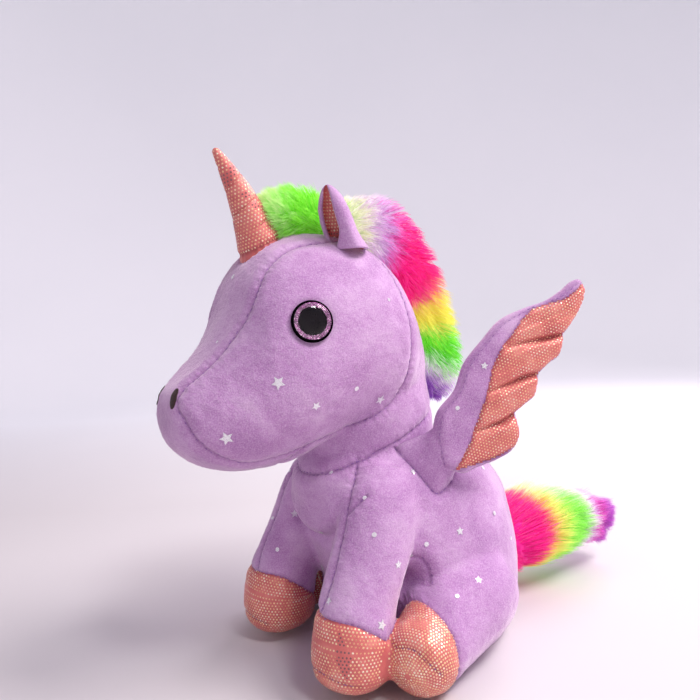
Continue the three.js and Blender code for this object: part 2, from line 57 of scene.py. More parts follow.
TORSO = [  # z, centre y, half width, half length
    (0, 41, 40, 34), (5, 41, 49, 43), (18, 40, 54, 49.5), (35, 38, 55.5, 54),
    (52, 35.5, 54.5, 57), (68, 31, 52, 59), (82, 27.5, 49, 60), (93, 22.5, 44.5, 57),
    (102, 17, 39.5, 48), (110, 10, 34, 37)]
NECK = [(98, 12, 33, 34), (110, 10, 34, 37), (117, 7.5, 36, 37), (127, 5, 38, 37.5), (148, 3, 38, 36)]
FRONT_LEG = [  # x, y, z, radius
    (26, 2, 98, 16), (30, -6, 84, 20), (34, -15, 64, 19.5), (38, -28, 38, 18.6),
    (39.5, -31, 28, 20), (40, -32, 18.5, 20.4), (40, -32.5, 10.5, 18.8), (40, -32.5, 5.5, 14)]
HIND_LEG = [
    (27, 55, 32, 20), (35, 45, 31, 27), (44, 31, 28.5, 26.5), (51, 17, 25, 23),
    (57, 4, 21.5, 19.8), (60.5, -4, 19.5, 18.2), (64, -12, 18.6, 17.2),
    (67, -19, 18.2, 12.5), (68.8, -23, 18, 4)]
HEAD = [  # y, lowest z, highest z, half width, squareness
    (-103.5, 131, 142, 7, 2), (-102, 125, 148, 15.5, 2.1), (-98, 119.5, 152.5, 22.5, 2.2),
    (-91, 113.5, 159, 28.5, 2.2), (-81, 109.5, 168.5, 34, 2.2), (-70.5, 107.5, 185, 39.5, 2.15),
    (-62.5, 107, 205, 43.5, 2.1), (-53, 107.5, 215.5, 47, 2.1), (-39, 110.2, 221.5, 49.5, 2.1),
    (-23, 117.2, 222.5, 50.5, 2.1), (-6, 120, 219.5, 49.5, 2.1), (9, 122, 210, 45, 2.1),
    (20, 124, 195.5, 37, 2.1), (30, 129, 177, 26.5, 2.05), (36.5, 136, 165, 16, 2),
    (39, 143, 157, 7, 2)]

VOXEL = 1.5


# ---- shapes -----------------------------------------------------------------------------

def unit(v):
    v = np.asarray(v, float)
    return v / np.maximum(np.linalg.norm(v, axis=-1, keepdims=True), 1e-9)


def smooth_step(x, low, high):
    t = np.clip((x - low) / (high - low), 0, 1)
    return t * t * (3 - 2 * t)


def curve(stops, steps, place=slice(0, 3)):
    """A smooth path through uneven stops, with steps points for each stretch."""
    p = np.array(stops, float)
    t = np.concatenate([[0], np.cumsum(np.linalg.norm(np.diff(p[:, place], axis=0), axis=1))])
    slope = np.diff(p, axis=0) / np.diff(t)[:, None]
    m = np.empty_like(p)
    m[0], m[-1] = slope[0], slope[-1]
    before, after = np.diff(t)[:-1, None], np.diff(t)[1:, None]
    m[1:-1] = (slope[:-1] * after + slope[1:] * before) / (before + after)
    rows = []
    for i in range(len(p) - 1):
        h = t[i + 1] - t[i]
        for s in np.arange(steps) / steps:
            rows.append((2 * s**3 - 3 * s**2 + 1) * p[i] + (s**3 - 2 * s**2 + s) * h * m[i]
                        + (3 * s**2 - 2 * s**3) * p[i + 1] + (s**3 - s**2) * h * m[i + 1])
    rows.append(p[-1])
    return np.array(rows)


def oval(centre, u, v, a, b, sides=64, squareness=2.0):
    angle = np.arange(sides) / sides * 2 * pi
    c, s = np.cos(angle), np.sin(angle)
    x = np.sign(c) * np.abs(c) ** (2 / squareness) * a
    y = np.sign(s) * np.abs(s) ** (2 / squareness) * b
    return np.asarray(centre) + x[:, None] * u + y[:, None] * v


def tube(rings):
    """A closed skin over a row of rings: (points, faces)."""
    rings = np.array(rings)
    n, sides = rings.shape[:2]
    i, j = np.meshgrid(np.arange(n - 1), np.arange(sides), indexing="ij")
    k = (j + 1) % sides
    quads = np.stack([i * sides + j, i * sides + k, (i + 1) * sides + k, (i + 1) * sides + j], -1)
    faces = quads.reshape(-1, 4).tolist()
    faces.append(list(range(sides))[::-1])
    faces.append(list(range((n - 1) * sides, n * sides)))
    return rings.reshape(-1, 3), faces


X, Y, Z = np.eye(3)


def torso_tube():
    rows = curve([(z, y, a, b) for z, y, a, b in TORSO], 5, slice(0, 2))
    return tube([oval((0, y, z), X, Y, a, b, 72, 2.15) for z, y, a, b in rows])


def neck_tube():
    rows = curve(NECK, 5, slice(0, 2))
    return tube([oval((0, y, z), X, Y, a, b, 72) for z, y, a, b in rows])


def head_tube():
    rows = curve(HEAD, 5, slice(0, 3))
    return tube([oval((0, y, (low + high) / 2), X, Z, w, (high - low) / 2, 72, q)
                 for y, low, high, w, q in rows])


def limb_tube(stops, side):
    rows = curve(stops, 5)
    rows[:, 0] *= side
    along = unit(np.gradient(rows[:, :3], axis=0))
    upright = abs(along[:, 2]).mean() > 0.8
    rings = []
    for row, d in zip(rows, along):
        u = X if upright else Z
        u = unit(u - d * (u @ d))
        rings.append(oval(row[:3], u, np.cross(d, u), row[3], row[3], 40))
    return tube(rings)


# ---- meshes and objects -----------------------------------------------------------------

def metres(points):
    return (np.asarray(points, float) - [0, SEAT_Y, 0]) / 1000


def millimetres(points):
    return np.asarray(points, float) * 1000 + [0, SEAT_Y, 0]


def new_object(name, points, faces, paint=None, smooth=True):
    mesh = bpy.data.meshes.new(name)
    mesh.from_pydata(metres(points).tolist(), [], [list(map(int, f)) for f in faces])
    mesh.update()
    rest = mesh.attributes.new("rest", "FLOAT_VECTOR", "POINT")
    rest.data.foreach_set("vector", (np.asarray(points, float) / 1000).ravel())
    mesh.polygons.foreach_set("use_smooth", [smooth] * len(mesh.polygons))
    obj = bpy.data.objects.new(name, mesh)
    bpy.context.scene.collection.objects.link(obj)
    if paint:
        mesh.materials.append(paint)
    return obj


def settle(obj, body_name, slot, *nodes, fill=None):
    """The body a piece rides and the CAD nodes it stands for; its slot and how full it is are not used."""
    if body_name:
        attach(obj, body_name)
    if nodes:
        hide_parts(*nodes)


def point_value(obj, name, values):
    attribute = obj.data.attributes.new(name, "FLOAT", "POINT")
    attribute.data.foreach_set("value", np.asarray(values, float))


def point_colour(obj, name, colours):
    attribute = obj.data.attributes.new(name, "FLOAT_COLOR", "POINT")
    rgba = np.ones((len(colours), 4))
    rgba[:, :3] = colours
    attribute.data.foreach_set("color", rgba.ravel())


def evaluated(obj):
    """The points, mm, and faces of an object with its modifiers applied; the object goes."""
    graph = bpy.context.evaluated_depsgraph_get()
    mesh = bpy.data.meshes.new_from_object(obj.evaluated_get(graph))
    co = np.zeros(len(mesh.vertices) * 3)
    mesh.vertices.foreach_get("co", co)
    faces = np.zeros(len(mesh.loops), int)
    mesh.loops.foreach_get("vertex_index", faces)
    bpy.data.objects.remove(obj)
    return millimetres(co.reshape(-1, 3)), faces.reshape(-1, 4)


def joined_skin(parts, voxel, rounds):
    """One even quad skin over closed tubes that run into each other."""
    points, faces, start = [], [], 0
    for p, f in parts:
        points.append(p)
        faces += [[i + start for i in face] for face in f]
        start += len(p)
    obj = new_object("skin_draft", np.vstack(points), faces)
    voxels = obj.modifiers.new("voxels", "REMESH")
    voxels.mode, voxels.voxel_size = "VOXEL", voxel / 1000
    even = obj.modifiers.new("even", "SMOOTH")
    even.factor, even.iterations = 0.5, rounds
    fine = obj.modifiers.new("fine", "SUBSURF")
    fine.levels = fine.render_levels = 1
    return evaluated(obj)


def normals_of(points, faces):
    a, b, c, d = (points[faces[:, i]] for i in range(4))
    across = np.cross(c - a, d - b)
    total = np.zeros_like(points)
    for i in range(4):
        np.add.at(total, faces[:, i], across)
    return unit(total)


def tree_of(points, faces):
    return BVHTree.FromPolygons(np.asarray(points).tolist(), np.asarray(faces).tolist())


def snap(tree, points, lift=0.0):
    """The nearest points of a skin, lifted off it, and its normals there."""
    found = [tree.find_nearest(Vector(p)) for p in points]
    at = np.array([f[0] for f in found])
    up = np.array([f[1] for f in found])
    return at + up * lift, up


# ---- seams ------------------------------------------------------------------------------

def chains(pairs):
    """Edges as ordered runs of vertex numbers."""
    links = {}
    for a, b in pairs:
        links.setdefault(a, []).append(b)
        links.setdefault(b, []).append(a)
    ends = [v for v in links if len(links[v]) == 1] + list(links)
    used, runs = set(), []
    for start in ends:
        if start in used:
            continue
        run = [start]
        used.add(start)
        while True:
            onward = [v for v in links[run[-1]] if v not in used]
            if not onward:
                break
            run.append(onward[0])
            used.add(onward[0])
        if run[0] in links[run[-1]] and len(run) > 2:
            run.append(run[0])
        if len(run) > 8:
            runs.append(run)
    return runs


def border(faces, label_a, label_b):
    """The vertex pairs of edges that lie between faces of label_a and faces of label_b."""
    edges = {}
    for face in np.where(label_a | label_b)[0]:
        f = faces[face]
        for k in range(4):
            edge = (min(f[k], f[k - 1]), max(f[k], f[k - 1]))
            edges.setdefault(edge, []).append(label_a[face])
    return [e for e, s in edges.items() if len(s) == 2 and s[0] != s[1]]


def even_line(points, step=0.5):
    """A path with a point every step mm."""
    points = np.asarray(points, float)
    s = np.concatenate([[0], np.cumsum(np.linalg.norm(np.diff(points, axis=0), axis=1))])
    at = np.linspace(0, s[-1], max(int(s[-1] / step), 2))
    return np.stack([np.interp(at, s, points[:, k]) for k in range(3)], 1)


def on_skin(tree, stops, side=1):
    """A seam drawn through rough stops, laid on the skin."""
    stops = np.array(stops, float) * [side, 1, 1]
    path = even_line(curve(stops, 8))
    path = snap(tree, path)[0]
    path[1:-1] = (path[:-2] + path[1:-1] + path[2:]) / 3
    return snap(tree, path)[0]


SEAM_STEP, SEAM_REACH, FAR_AWAY = 0.5, 12.0, 99.0
STITCH_PITCH, STITCH_LENGTH, STITCH_RADIUS, STITCH_LIFT = 3.0, 1.9, 0.24, -0.15
PHASE_STEP = 37.0  # shifts the gathers of one seam against the next


class Seams:
    """Sewn lines on a skin: how near a point is to one, and how far along."""

    def __init__(self, lines):
        lines = [even_line(line, SEAM_STEP) for line in lines]
        points = np.vstack(lines)
        self.along = np.concatenate([
            np.arange(len(line)) * SEAM_STEP + PHASE_STEP * i for i, line in enumerate(lines)])
        self.tree = KDTree(len(points))
        for i, p in enumerate(points):
            self.tree.insert(p, i)
        self.tree.balance()

    def near(self, points):
        away = np.full(len(points), FAR_AWAY)
        along = np.zeros(len(points))
        for i, p in enumerate(points):
            _, index, distance = self.tree.find(p)
            if distance < SEAM_REACH:
                away[i], along[i] = distance, self.along[index]
        return away, along


def sewn(points, normals, seams, depth=0.75, puff=0.35, pucker=0.2):
    """Pulls a skin in along its seams, with the small gathers that the stitches make."""
    away, along = seams.near(points)
    wave = np.sin(along * 1.15 + 1.7 * np.sin(along * 0.23)) + 0.6 * np.sin(along * 2.45 + 0.8)
    stitch = 0.5 + 0.5 * np.cos(along * 2 * pi / STITCH_PITCH)
    shift = -depth * np.exp(-(away / 0.85) ** 2) * (0.75 + 0.35 * stitch)
    shift += -0.4 * depth * np.exp(-(away / 2.8) ** 2)
    shift += puff * np.exp(-((away - 5) / 3.2) ** 2)
    shift += pucker * wave * np.exp(-(away / 3.6) ** 2) * smooth_step(away, 0.2, 1.4)
    return points + normals * shift[:, None], away


DASH = ((-0.5, 0.35), (-0.32, 0.9), (0.0, 1.0), (0.32, 0.9), (0.5, 0.35))
SATIN = ((-0.5, 0.4), (-0.36, 0.95), (0.0, 1.0), (0.36, 0.95), (0.5, 0.4))


def threads(name, rows, paint, profile, bow=0.0, sides=6):
    """Short threads; a row is centre, direction, up, length, radius; a profile place and share."""
    points, faces = [], []
    for centre, d, n, length, radius in rows:
        across = unit(np.cross(d, n))
        start = len(points)
        for t, r in profile:
            arch = n * (0.25 - t * t) * length * bow
            for q in range(sides):
                angle = q / sides * 2 * pi
                points.append(centre + d * length * t + arch
                              + (across * cos(angle) + n * sin(angle)) * radius * r)
        for base in range(start, start + sides * (len(profile) - 1), sides):
            for q in range(sides):
                w = (q + 1) % sides
                faces.append([base + q, base + w, base + sides + w, base + sides + q])
        faces.append([start + q for q in range(sides - 1, -1, -1)])
        faces.append([start + sides * (len(profile) - 1) + q for q in range(sides)])
    return new_object(name, np.array(points), faces, paint)


def stitches(name, lines, tree, paint, step=0.25):
    """Thread that shows as short dashes along each seam."""
    rows = []
    for line in lines:
        line = even_line(line, step)
        half = int(STITCH_LENGTH / step / 2)
        for k in range(int(len(line) * step / STITCH_PITCH)):
            i = int((k + 0.5) * STITCH_PITCH / step)
            a, b = line[max(i - half, 0)], line[min(i + half, len(line) - 1)]
            if np.linalg.norm(b - a) >= 0.5:
                at, up = snap(tree, [(a + b) / 2], STITCH_LIFT)
                rows.append((at[0], unit(b - a), up[0], STITCH_LENGTH, STITCH_RADIUS))
    return threads(name, rows, paint, DASH)


# ---- materials --------------------------------------------------------------------------

def colour(r, g, b):
    """Screen values 0 to 255 as the linear colour that a shader takes."""
    c = np.array([r, g, b], float) / 255
    linear = np.where(c <= 0.04045, c / 12.92, ((c + 0.055) / 1.055) ** 2.4)
    return tuple(linear) + (1.0,)


class Paint:
    """A Principled material, and short ways to add nodes to it."""

    def __init__(self, name, **values):
        self.material = bpy.data.materials.new(name)
        self.material.use_nodes = True
        self.tree = self.material.node_tree
        self.shader = self.tree.nodes["Principled BSDF"]
        self.set(**values)

    def set(self, **values):
        for key, value in values.items():
            self.put(self.shader.inputs[key.replace("_", " ")], value)

    def put(self, socket, value):
        if isinstance(value, bpy.types.NodeSocket):
            self.tree.links.new(value, socket)
        else:
            socket.default_value = value

    def node(self, kind, inputs=None, **settings):
        node = self.tree.nodes.new(kind)
        for key, value in settings.items():
            setattr(node, key, value)
        for key, value in (inputs or {}).items():
            self.put(node.inputs[key], value)
        return node

    def attribute(self, name, output="Vector"):
        return self.node("ShaderNodeAttribute", attribute_name=name).outputs[output]

    def noise(self, scale, detail=2.0, stretch=None, distortion=0.0, roughness=0.5):
        vector = self.attribute("rest")
        if stretch:
            vector = self.node("ShaderNodeMapping", {"Vector": vector, "Scale": stretch}).outputs[0]
        return self.node("ShaderNodeTexNoise", {
            "Vector": vector, "Scale": scale, "Detail": detail, "Distortion": distortion,
            "Roughness": roughness}).outputs["Fac"]

    def math(self, operation, a, b=0.0):
        return self.node("ShaderNodeMath", {0: a, 1: b}, operation=operation).outputs[0]

    def total(self, *parts):
        """Values times their weights, added up."""
        scaled = [self.math("MULTIPLY", value, weight) for value, weight in parts]
        result = scaled[0]
        for value in scaled[1:]:
            result = self.math("ADD", result, value)
        return result

    def ramp(self, value, stops):
        node = self.node("ShaderNodeValToRGB", {"Fac": value})
        elements = node.color_ramp.elements
        while len(elements) < len(stops):
            elements.new(0.5)
        for element, (place, shade) in zip(elements, stops):
            element.position, element.color = place, shade
        return node.outputs["Color"]

    def mix(self, share, a, b, blend="MIX"):
        node = self.node("ShaderNodeMix", data_type="RGBA", blend_type=blend)
        self.put(node.inputs["Factor"], share)
        self.put(node.inputs[6], a)
        self.put(node.inputs[7], b)
        return node.outputs[2]

    def bump(self, height, strength, distance):
        self.set(Normal=self.node("ShaderNodeBump", {
            "Height": height, "Strength": strength, "Distance": distance}).outputs[0])


def minky():
    paint = Paint("lavender_minky", Roughness=0.92, Sheen_Weight=1.0, Sheen_Roughness=0.34,
                  Sheen_Tint=colour(255, 240, 252), Specular_IOR_Level=0.2)
    patch = paint.noise(36, 2, distortion=0.7)
    brushed = paint.noise(1, 3, (150, 150, 330), 0.6)
    streak = paint.noise(1, 2, (700, 700, 1900))
    grain = paint.noise(1500, 3, roughness=0.65)
    shade = paint.ramp(paint.total((patch, 0.68), (brushed, 0.2), (streak, 0.12)), [
        (0.34, colour(172, 118, 180)), (0.46, colour(186, 134, 192)),
        (0.54, colour(196, 148, 202)), (0.66, colour(208, 168, 212))])
    pale = paint.ramp(grain, [(0.4, (0, 0, 0, 1)), (0.7, (0.42, 0.42, 0.42, 1))])
    shade = paint.mix(pale, shade, colour(240, 220, 240))
    # Painted shade: the seam attribute darkens the minky towards deep purple in seams, grooves and hollows.
    near = paint.math("MULTIPLY", paint.attribute("seam", "Fac"), 0.42)
    paint.set(Base_Color=paint.mix(near, shade, colour(122, 74, 132)))
    paint.bump(paint.total((grain, 0.9), (streak, 0.4), (brushed, 0.7)), 0.5, 0.0007)
    return paint.material


def coral():
    paint = Paint("coral_foil_fabric", Roughness=0.46, Metallic=0.12, Sheen_Weight=0.2,
                  Sheen_Roughness=0.4, Specular_IOR_Level=0.45)
    patch = paint.noise(90, 3, distortion=0.6)
    knit = paint.noise(1900, 1)
    shade = paint.ramp(patch, [
        (0.3, colour(204, 92, 96)), (0.5, colour(220, 111, 109)), (0.7, colour(232, 138, 131))])
    shade = paint.mix(paint.math("MULTIPLY", knit, 0.2), shade, colour(240, 168, 148))
    # Painted shade: the seam attribute darkens the coral fabric in seams, creases and folds; on the horn it
    # also gives the fabric a darker tone of its own.
    near = paint.math("MULTIPLY", paint.attribute("seam", "Fac"), 0.5)
    paint.set(Base_Color=paint.mix(near, shade, colour(136, 46, 58)))
    paint.bump(paint.total((knit, 1.0), (patch, 0.8)), 0.45, 0.0004)
    return paint.material


def foil():
    paint = Paint("foil_dot", Metallic=0.4)
    grain = paint.noise(3200, 1)
    paint.set(Base_Color=paint.mix(paint.math("MULTIPLY", grain, 0.25),
                                   paint.attribute("tint", "Color"), colour(255, 250, 240)))
    paint.set(Roughness=paint.ramp(grain, [(0.3, (0.22,) * 3 + (1,)), (0.7, (0.42,) * 3 + (1,))]))
    return paint.material


def fur():
    # Painted light: the emission makes the fur glow in its own tint.
    paint = Paint("rainbow_fur", Roughness=0.6, Sheen_Weight=0.3, Sheen_Roughness=0.5,
                  Specular_IOR_Level=0.25, Emission_Strength=0.2)
    grain = paint.noise(700, 2)
    tint = paint.attribute("tint", "Color")
    paint.set(Base_Color=paint.mix(paint.math("MULTIPLY", grain, 0.3), tint,
                                   colour(255, 255, 255), "SOFT_LIGHT"))
    paint.set(Emission_Color=tint)
    return paint.material


def thread(name, low, high):
    paint = Paint(name, Roughness=0.7, Sheen_Weight=0.2)
    twist = paint.noise(1500, 2)
    paint.set(Base_Color=paint.ramp(twist, [(0.3, low), (0.7, high)]))
    paint.bump(twist, 0.4, 0.0002)
    return paint.material


MINKY, CORAL, FOIL, FUR = minky(), coral(), foil(), fur()
PURPLE_THREAD = thread("lavender_thread", colour(112, 66, 140), colour(156, 108, 184))
HORN_THREAD = thread("horn_thread", colour(186, 84, 84), colour(216, 116, 106))
NOSTRIL_THREAD = thread("nostril_thread", colour(28, 12, 14), colour(70, 36, 36))

# ---- the sewn skin of the body, neck and head ---------------------------------------------

CHEEK = [  # the seam between the head's sides and the nape, y and z
    (-57, 104), (-51, 112), (-45, 119), (-37, 121.5), (-24, 124), (-11, 129), (-2.5, 134),
    (2.5, 138.5), (6, 148), (7.5, 160), (8, 173), (7.5, 186), (6, 194), (3, 202), (-3, 212)]


def neck_seam_height(p):
    return p[:, 2] - (113.5 + 0.44 * p[:, 1])


def inside(polygon, y, z):
    hit = np.zeros(len(y), bool)
    for (y0, z0), (y1, z1) in zip(polygon, polygon[1:] + polygon[:1]):
        crossing = (z0 > z) != (z1 > z)
        with np.errstate(divide="ignore", invalid="ignore"):
            hit ^= crossing & (y < (y1 - y0) * (z - z0) / (z1 - z0) + y0)
    return hit


def front_hoof_height(p):
    return p[:, 2] - (40.5 - 0.75 * np.logaddexp(0, (p[:, 1] + 40) / 2.5) * 2.5)


def hind_hoof_front(p):
    """How far in front of the hind hoof's seam a point is."""
    return 0.156 * abs(p[:, 0]) - 0.988 * p[:, 1] - 10.0


def limb_distance(p, stops, side):
    """Distance to a limb's surface, negative inside."""
    rows = curve(stops, 6)
    rows[:, 0] *= side
    gap = np.linalg.norm(p[:, None] - rows[None, :, :3], axis=2) - rows[None, :, 3]
    return gap.min(1)


EVEN_ROUNDS, SEAM_ROUNDS = 10, 14  # smoothing passes over the voxel skin, and along a seam
NECK_LOW, HOOF_HIGH, HOOF_REACH = 92, 46, 1.5

skin_parts = [torso_tube(), neck_tube(), head_tube()]
skin_parts += [limb_tube(leg, s) for leg in (FRONT_LEG, HIND_LEG) for s in (1, -1)]
skin, skin_faces = joined_skin(skin_parts, VOXEL, EVEN_ROUNDS)

middle = skin[skin_faces].mean(1)
above_neck_seam = (neck_seam_height(middle) > 0) & (middle[:, 2] > NECK_LOW)
nape = inside(CHEEK + [(-3, 260), (200, 260), (200, -50), (-57, -50)], middle[:, 1], middle[:, 2])
labels = np.full(len(middle), "body", dtype="<U12")
labels[above_neck_seam & nape] = "neck"
labels[above_neck_seam & ~nape] = "head"
low = middle[:, 2] < HOOF_HIGH
for side, s in SIDES.items():
    on_side = low & (middle[:, 0] * s > 0)
    at = np.where(on_side)[0]
    front = limb_distance(middle[at], FRONT_LEG, s)
    hind = limb_distance(middle[at], HIND_LEG, s)
    is_hind = (hind < front) & (hind_hoof_front(middle[at]) > 0)
    is_front = (front <= hind) & (front_hoof_height(middle[at]) < 0) & (front < HOOF_REACH)
    labels[at[is_hind]] = "hind_" + side
    labels[at[is_front]] = "front_" + side

HOOVES = [leg + "_" + side for leg in ("front", "hind") for side in SIDES]
smooth_tree = tree_of(skin, skin_faces)
seam_lines = []
for a, b in [("neck", "body"), ("neck", "head"), ("head", "body")] + [(h, "body") for h in HOOVES]:
    for run in chains(border(skin_faces, labels == a, labels == b)):
        line = skin[run]
        for _ in range(SEAM_ROUNDS):
            if run[0] == run[-1]:
                ring = line[:-1]
                ring = (np.roll(ring, 1, 0) + 2 * ring + np.roll(ring, -1, 0)) / 4
                line = np.vstack([ring, ring[:1]])
            else:
                line[1:-1] = (line[:-2] + 2 * line[1:-1] + line[2:]) / 4
        skin[run] = snap(smooth_tree, line)[0]
        seam_lines.append(skin[run])

# Seams sewn within a panel colour, as rough stops that are laid on the skin.
GUSSET_SEAM = [(17, 24, 203), (20, 4, 216), (24, -14, 218), (25, -25, 215), (23.5, -44, 210),
               (23, -55, 200), (24.5, -62, 188), (20.5, -72, 174), (18, -80, 166), (15.5, -89.5, 157),
               (13, -97, 151), (13, -101, 145), (15, -101.5, 142)]
MOUTH_SEAM = [(15, -101.5, 142), (18, -100, 139), (22, -97.5, 131), (24, -91, 123),
              (23.5, -82, 117), (23.5, -74, 114.5), (25, -66, 114), (27, -56, 116), (30, -45, 120)]
CHEST_SEAM = [(26, -15, 108), (30, -21, 95), (33.5, -27, 83), (35, -33, 70), (37, -40, 55),
              (36, -45, 44), (35, -47, 40)]
DART_SEAM = [(34, -27, 83), (37.5, -24, 88), (40, -20, 92)]
THIGH_SEAM = [(46.5, -1, 59.5), (47, 4.5, 58.5), (47.6, 8.5, 54), (49, 9.5, 48), (52, 7.5, 43.5)]
SOLE_SEAM = [(27, -46, 13), (33, -50, 15), (42, -51.5, 16.5), (51, -47.5, 14.5), (57, -40, 12.5)]
TOE_SEAM = [(57, -21, 27), (63, -22.5, 27.5), (70, -19, 28), (76, -15, 23), (79, -10, 17)]
BACK_SEAM = [(0, 46, 124), (0, 66, 104), (0, 84, 88), (0, 90, 70), (0, 92, 50), (0, 91, 38)]
WING_PATCH = [(33.8, 2.5, 112), (36.9, 7.3, 104.7), (39.6, 10, 100), (43, 13.3, 94), (45.2, 18.2, 87.4),
              (45.2, 24.1, 88.9), (44, 30.7, 93.2), (41.8, 34.1, 96.4)]
for stops in (GUSSET_SEAM, MOUTH_SEAM, CHEST_SEAM, DART_SEAM, THIGH_SEAM, WING_PATCH):
    for s in SIDES.values():
        seam_lines.append(on_skin(smooth_tree, stops, s))
seam_lines.append(on_skin(smooth_tree, BACK_SEAM))
hoof_lines = [on_skin(smooth_tree, stops, s) for stops in (SOLE_SEAM, TOE_SEAM) for s in SIDES.values()]

# ---- soft lumps, seams and the eyes' seats pressed into the skin --------------------------


def ripple(points, size, seed, waves=14):
    """Soft lumps about size mm across, from -1 to 1."""
    draw = np.random.default_rng(seed)
    total = np.zeros(len(points))
    for _ in range(waves):
        direction = unit(draw.normal(size=3))
        total += np.sin(points @ direction * 2 * pi / (size * draw.uniform(0.7, 1.6))
                        + draw.uniform(0, 6.3))
    return total / sqrt(waves) / 1.6


EYE_CENTRE, EYE_NORMAL = np.array([45.9, -47.5, 178]), unit([0.945, -0.29, 0.15])
HORN_BASE, HORN_LEAN = np.array([0, -49.5, 216.5]), unit([0, -0.404, 0.915])
HORN_LENGTH = 51
SEAT_INNER, SEAT_OUTER, SEAT_DEEP = 8.4, 14, 0.9  # the dish that an eye is pulled into
HORN_RING, HORN_REACH, RING_GATHERS = 11.6, 12, 22  # the seam round the horn's foot
FLOOR_GAP = 0.02


def chest_hang(points):
    """The chest hangs a little over the gap between the front legs."""
    under = points[:, 2] - np.interp(abs(points[:, 0]), [0, 8, 16, 24], [66, 67, 71.5, 77.5])
    shift = 2.0 * np.exp(-((under - 6) / 5.5) ** 2) - 3.6 * np.exp(-((under + 3) / 3.4) ** 2)
    return shift * (1 - smooth_step(abs(points[:, 0]), 19, 27)) * (1 - smooth_step(points[:, 1], -22, -12))


def leg_hollow(points):
    """How deep the hollow between a front leg and a thigh is."""
    depth = 8.5 * np.exp(-((points[:, 1] - 1.5) / 5.5) ** 2 - ((points[:, 2] - 46) / 8.5) ** 2)
    return depth * smooth_step(abs(points[:, 0]), 30, 42)


def about_axis(points, centre, way):
    """Each point's distance from an axis and its place along it."""
    gap = points - centre
    rise = gap @ way
    return np.linalg.norm(gap - rise[:, None] * way, axis=1), rise


def eye_seat(points, way, centre):
    across, rise = about_axis(points, centre, way)
    pressed = (1 - smooth_step(across, SEAT_INNER, SEAT_OUTER)) * (abs(rise) < SEAT_OUTER)
    return way * (pressed * (-SEAT_DEEP - 0.85 * np.clip(rise, -4, 4)))[:, None]


def horn_ring(points):
    """How near the skin is to the seam that holds the horn, and the gathers round it."""
    across, rise = about_axis(points, HORN_BASE, HORN_LEAN)
    turn = np.arctan2(points[:, 0] - HORN_BASE[0], points[:, 1] - HORN_BASE[1])
    near = (abs(rise) < HORN_REACH) * np.exp(-((across - HORN_RING) / 1.4) ** 2)
    return near, near * (-0.9 + 0.3 * np.sin(turn * RING_GATHERS))


skin_normals = normals_of(skin, skin_faces)
skin, seam_away = sewn(skin, skin_normals, Seams(seam_lines))
skin, hoof_away = sewn(skin, skin_normals, Seams(hoof_lines), 0.45, 0.1, 0.12)
skin += skin_normals * (0.35 * ripple(skin, 24, 1) + 0.1 * ripple(skin, 5, 2)
                        + 0.06 * ripple(skin, 2.3, 3))[:, None]
skin += skin_normals * chest_hang(skin)[:, None]
hollow = leg_hollow(skin)
skin[:, 0] -= np.sign(skin[:, 0]) * hollow
for s in SIDES.values():
    skin += eye_seat(skin, EYE_NORMAL * [s, 1, 1], EYE_CENTRE * [s, 1, 1])
near_horn, gathers = horn_ring(skin)
skin += skin_normals * gathers[:, None]
skin[:, 2] = np.maximum(skin[:, 2], FLOOR_GAP)
# Painted shade: the skin's colour is darkened along its seams, round the horn's seam and in the hollow
# between a front leg and a thigh, where shade falls.
painted_seam_shade = np.exp(-(np.minimum(seam_away, hoof_away) / 1.0) ** 2)
painted_seam_shade = np.maximum(painted_seam_shade, 0.7 * near_horn)
painted_seam_shade = np.maximum(painted_seam_shade, 0.75 * np.clip(hollow / 6, 0, 1))
skin_tree = tree_of(skin, skin_faces)


def skin_piece(name, label, paint):
    chosen = skin_faces[labels == label]
    used, inverse = np.unique(chosen, return_inverse=True)
    obj = new_object(name, skin[used], inverse.reshape(-1, 4), paint)
    # the painted shade goes to the material as the seam attribute
    point_value(obj, "seam", painted_seam_shade[used])
    return obj


settle(skin_piece("body_skin", "body", MINKY), "torso", "lavender_minky",
       "body_side_left", "body_side_right", "chest_belly_panel", "body_filling", fill=0.85)
settle(skin_piece("head_skin", "head", MINKY), "head", "lavender_minky",
       "head_side_left", "head_side_right", "head_gusset", "chin_panel", "head_filling", fill=0.9)
neck = skin_piece("neck_skin", "neck", MINKY)
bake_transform(neck)
settle(neck, None, "lavender_minky",
       "neck_band", "neck_filling", "nape_panel_left", "nape_panel_right", fill=0.8)
for name in HOOVES:
    settle(skin_piece("hoof_%s_skin" % name, name, CORAL), "torso", "coral_foil_fabric",
           "hoof_" + name, fill=0.9)


def is_head_line(line):
    """Head seams ride on the head; the seam round the neck's foot and all below on the torso."""
    return line[:, 2].mean() > 112 and not (neck_seam_height(line) < 3).all()


head_lines = [x for x in seam_lines if is_head_line(x)]
body_lines = [x for x in seam_lines if not is_head_line(x)] + hoof_lines
for body_name, chosen in (("head", head_lines), ("torso", body_lines)):
    sewing = stitches(body_name + "_stitching", chosen, skin_tree, PURPLE_THREAD)
    settle(sewing, body_name, "lavender_minky")

# ---- small round things: eyes, nostrils ----------------------------------------------------


def frame_at(centre, normal, side):
    """Axes u, v, n at a point, for a thing that is turned about its normal."""
    n = unit(np.asarray(normal, float) * [side, 1, 1])
    u = unit(np.cross(Z, n))
    return np.asarray(centre, float) * [side, 1, 1], u, np.cross(n, u), n


def turned(profile, place, sides=48):
    """A closed body from a profile of radius and height, spun about n."""
    centre, u, v, n = place
    return tube([oval(centre + n * h, u, v, r, r, sides) for r, h in profile])


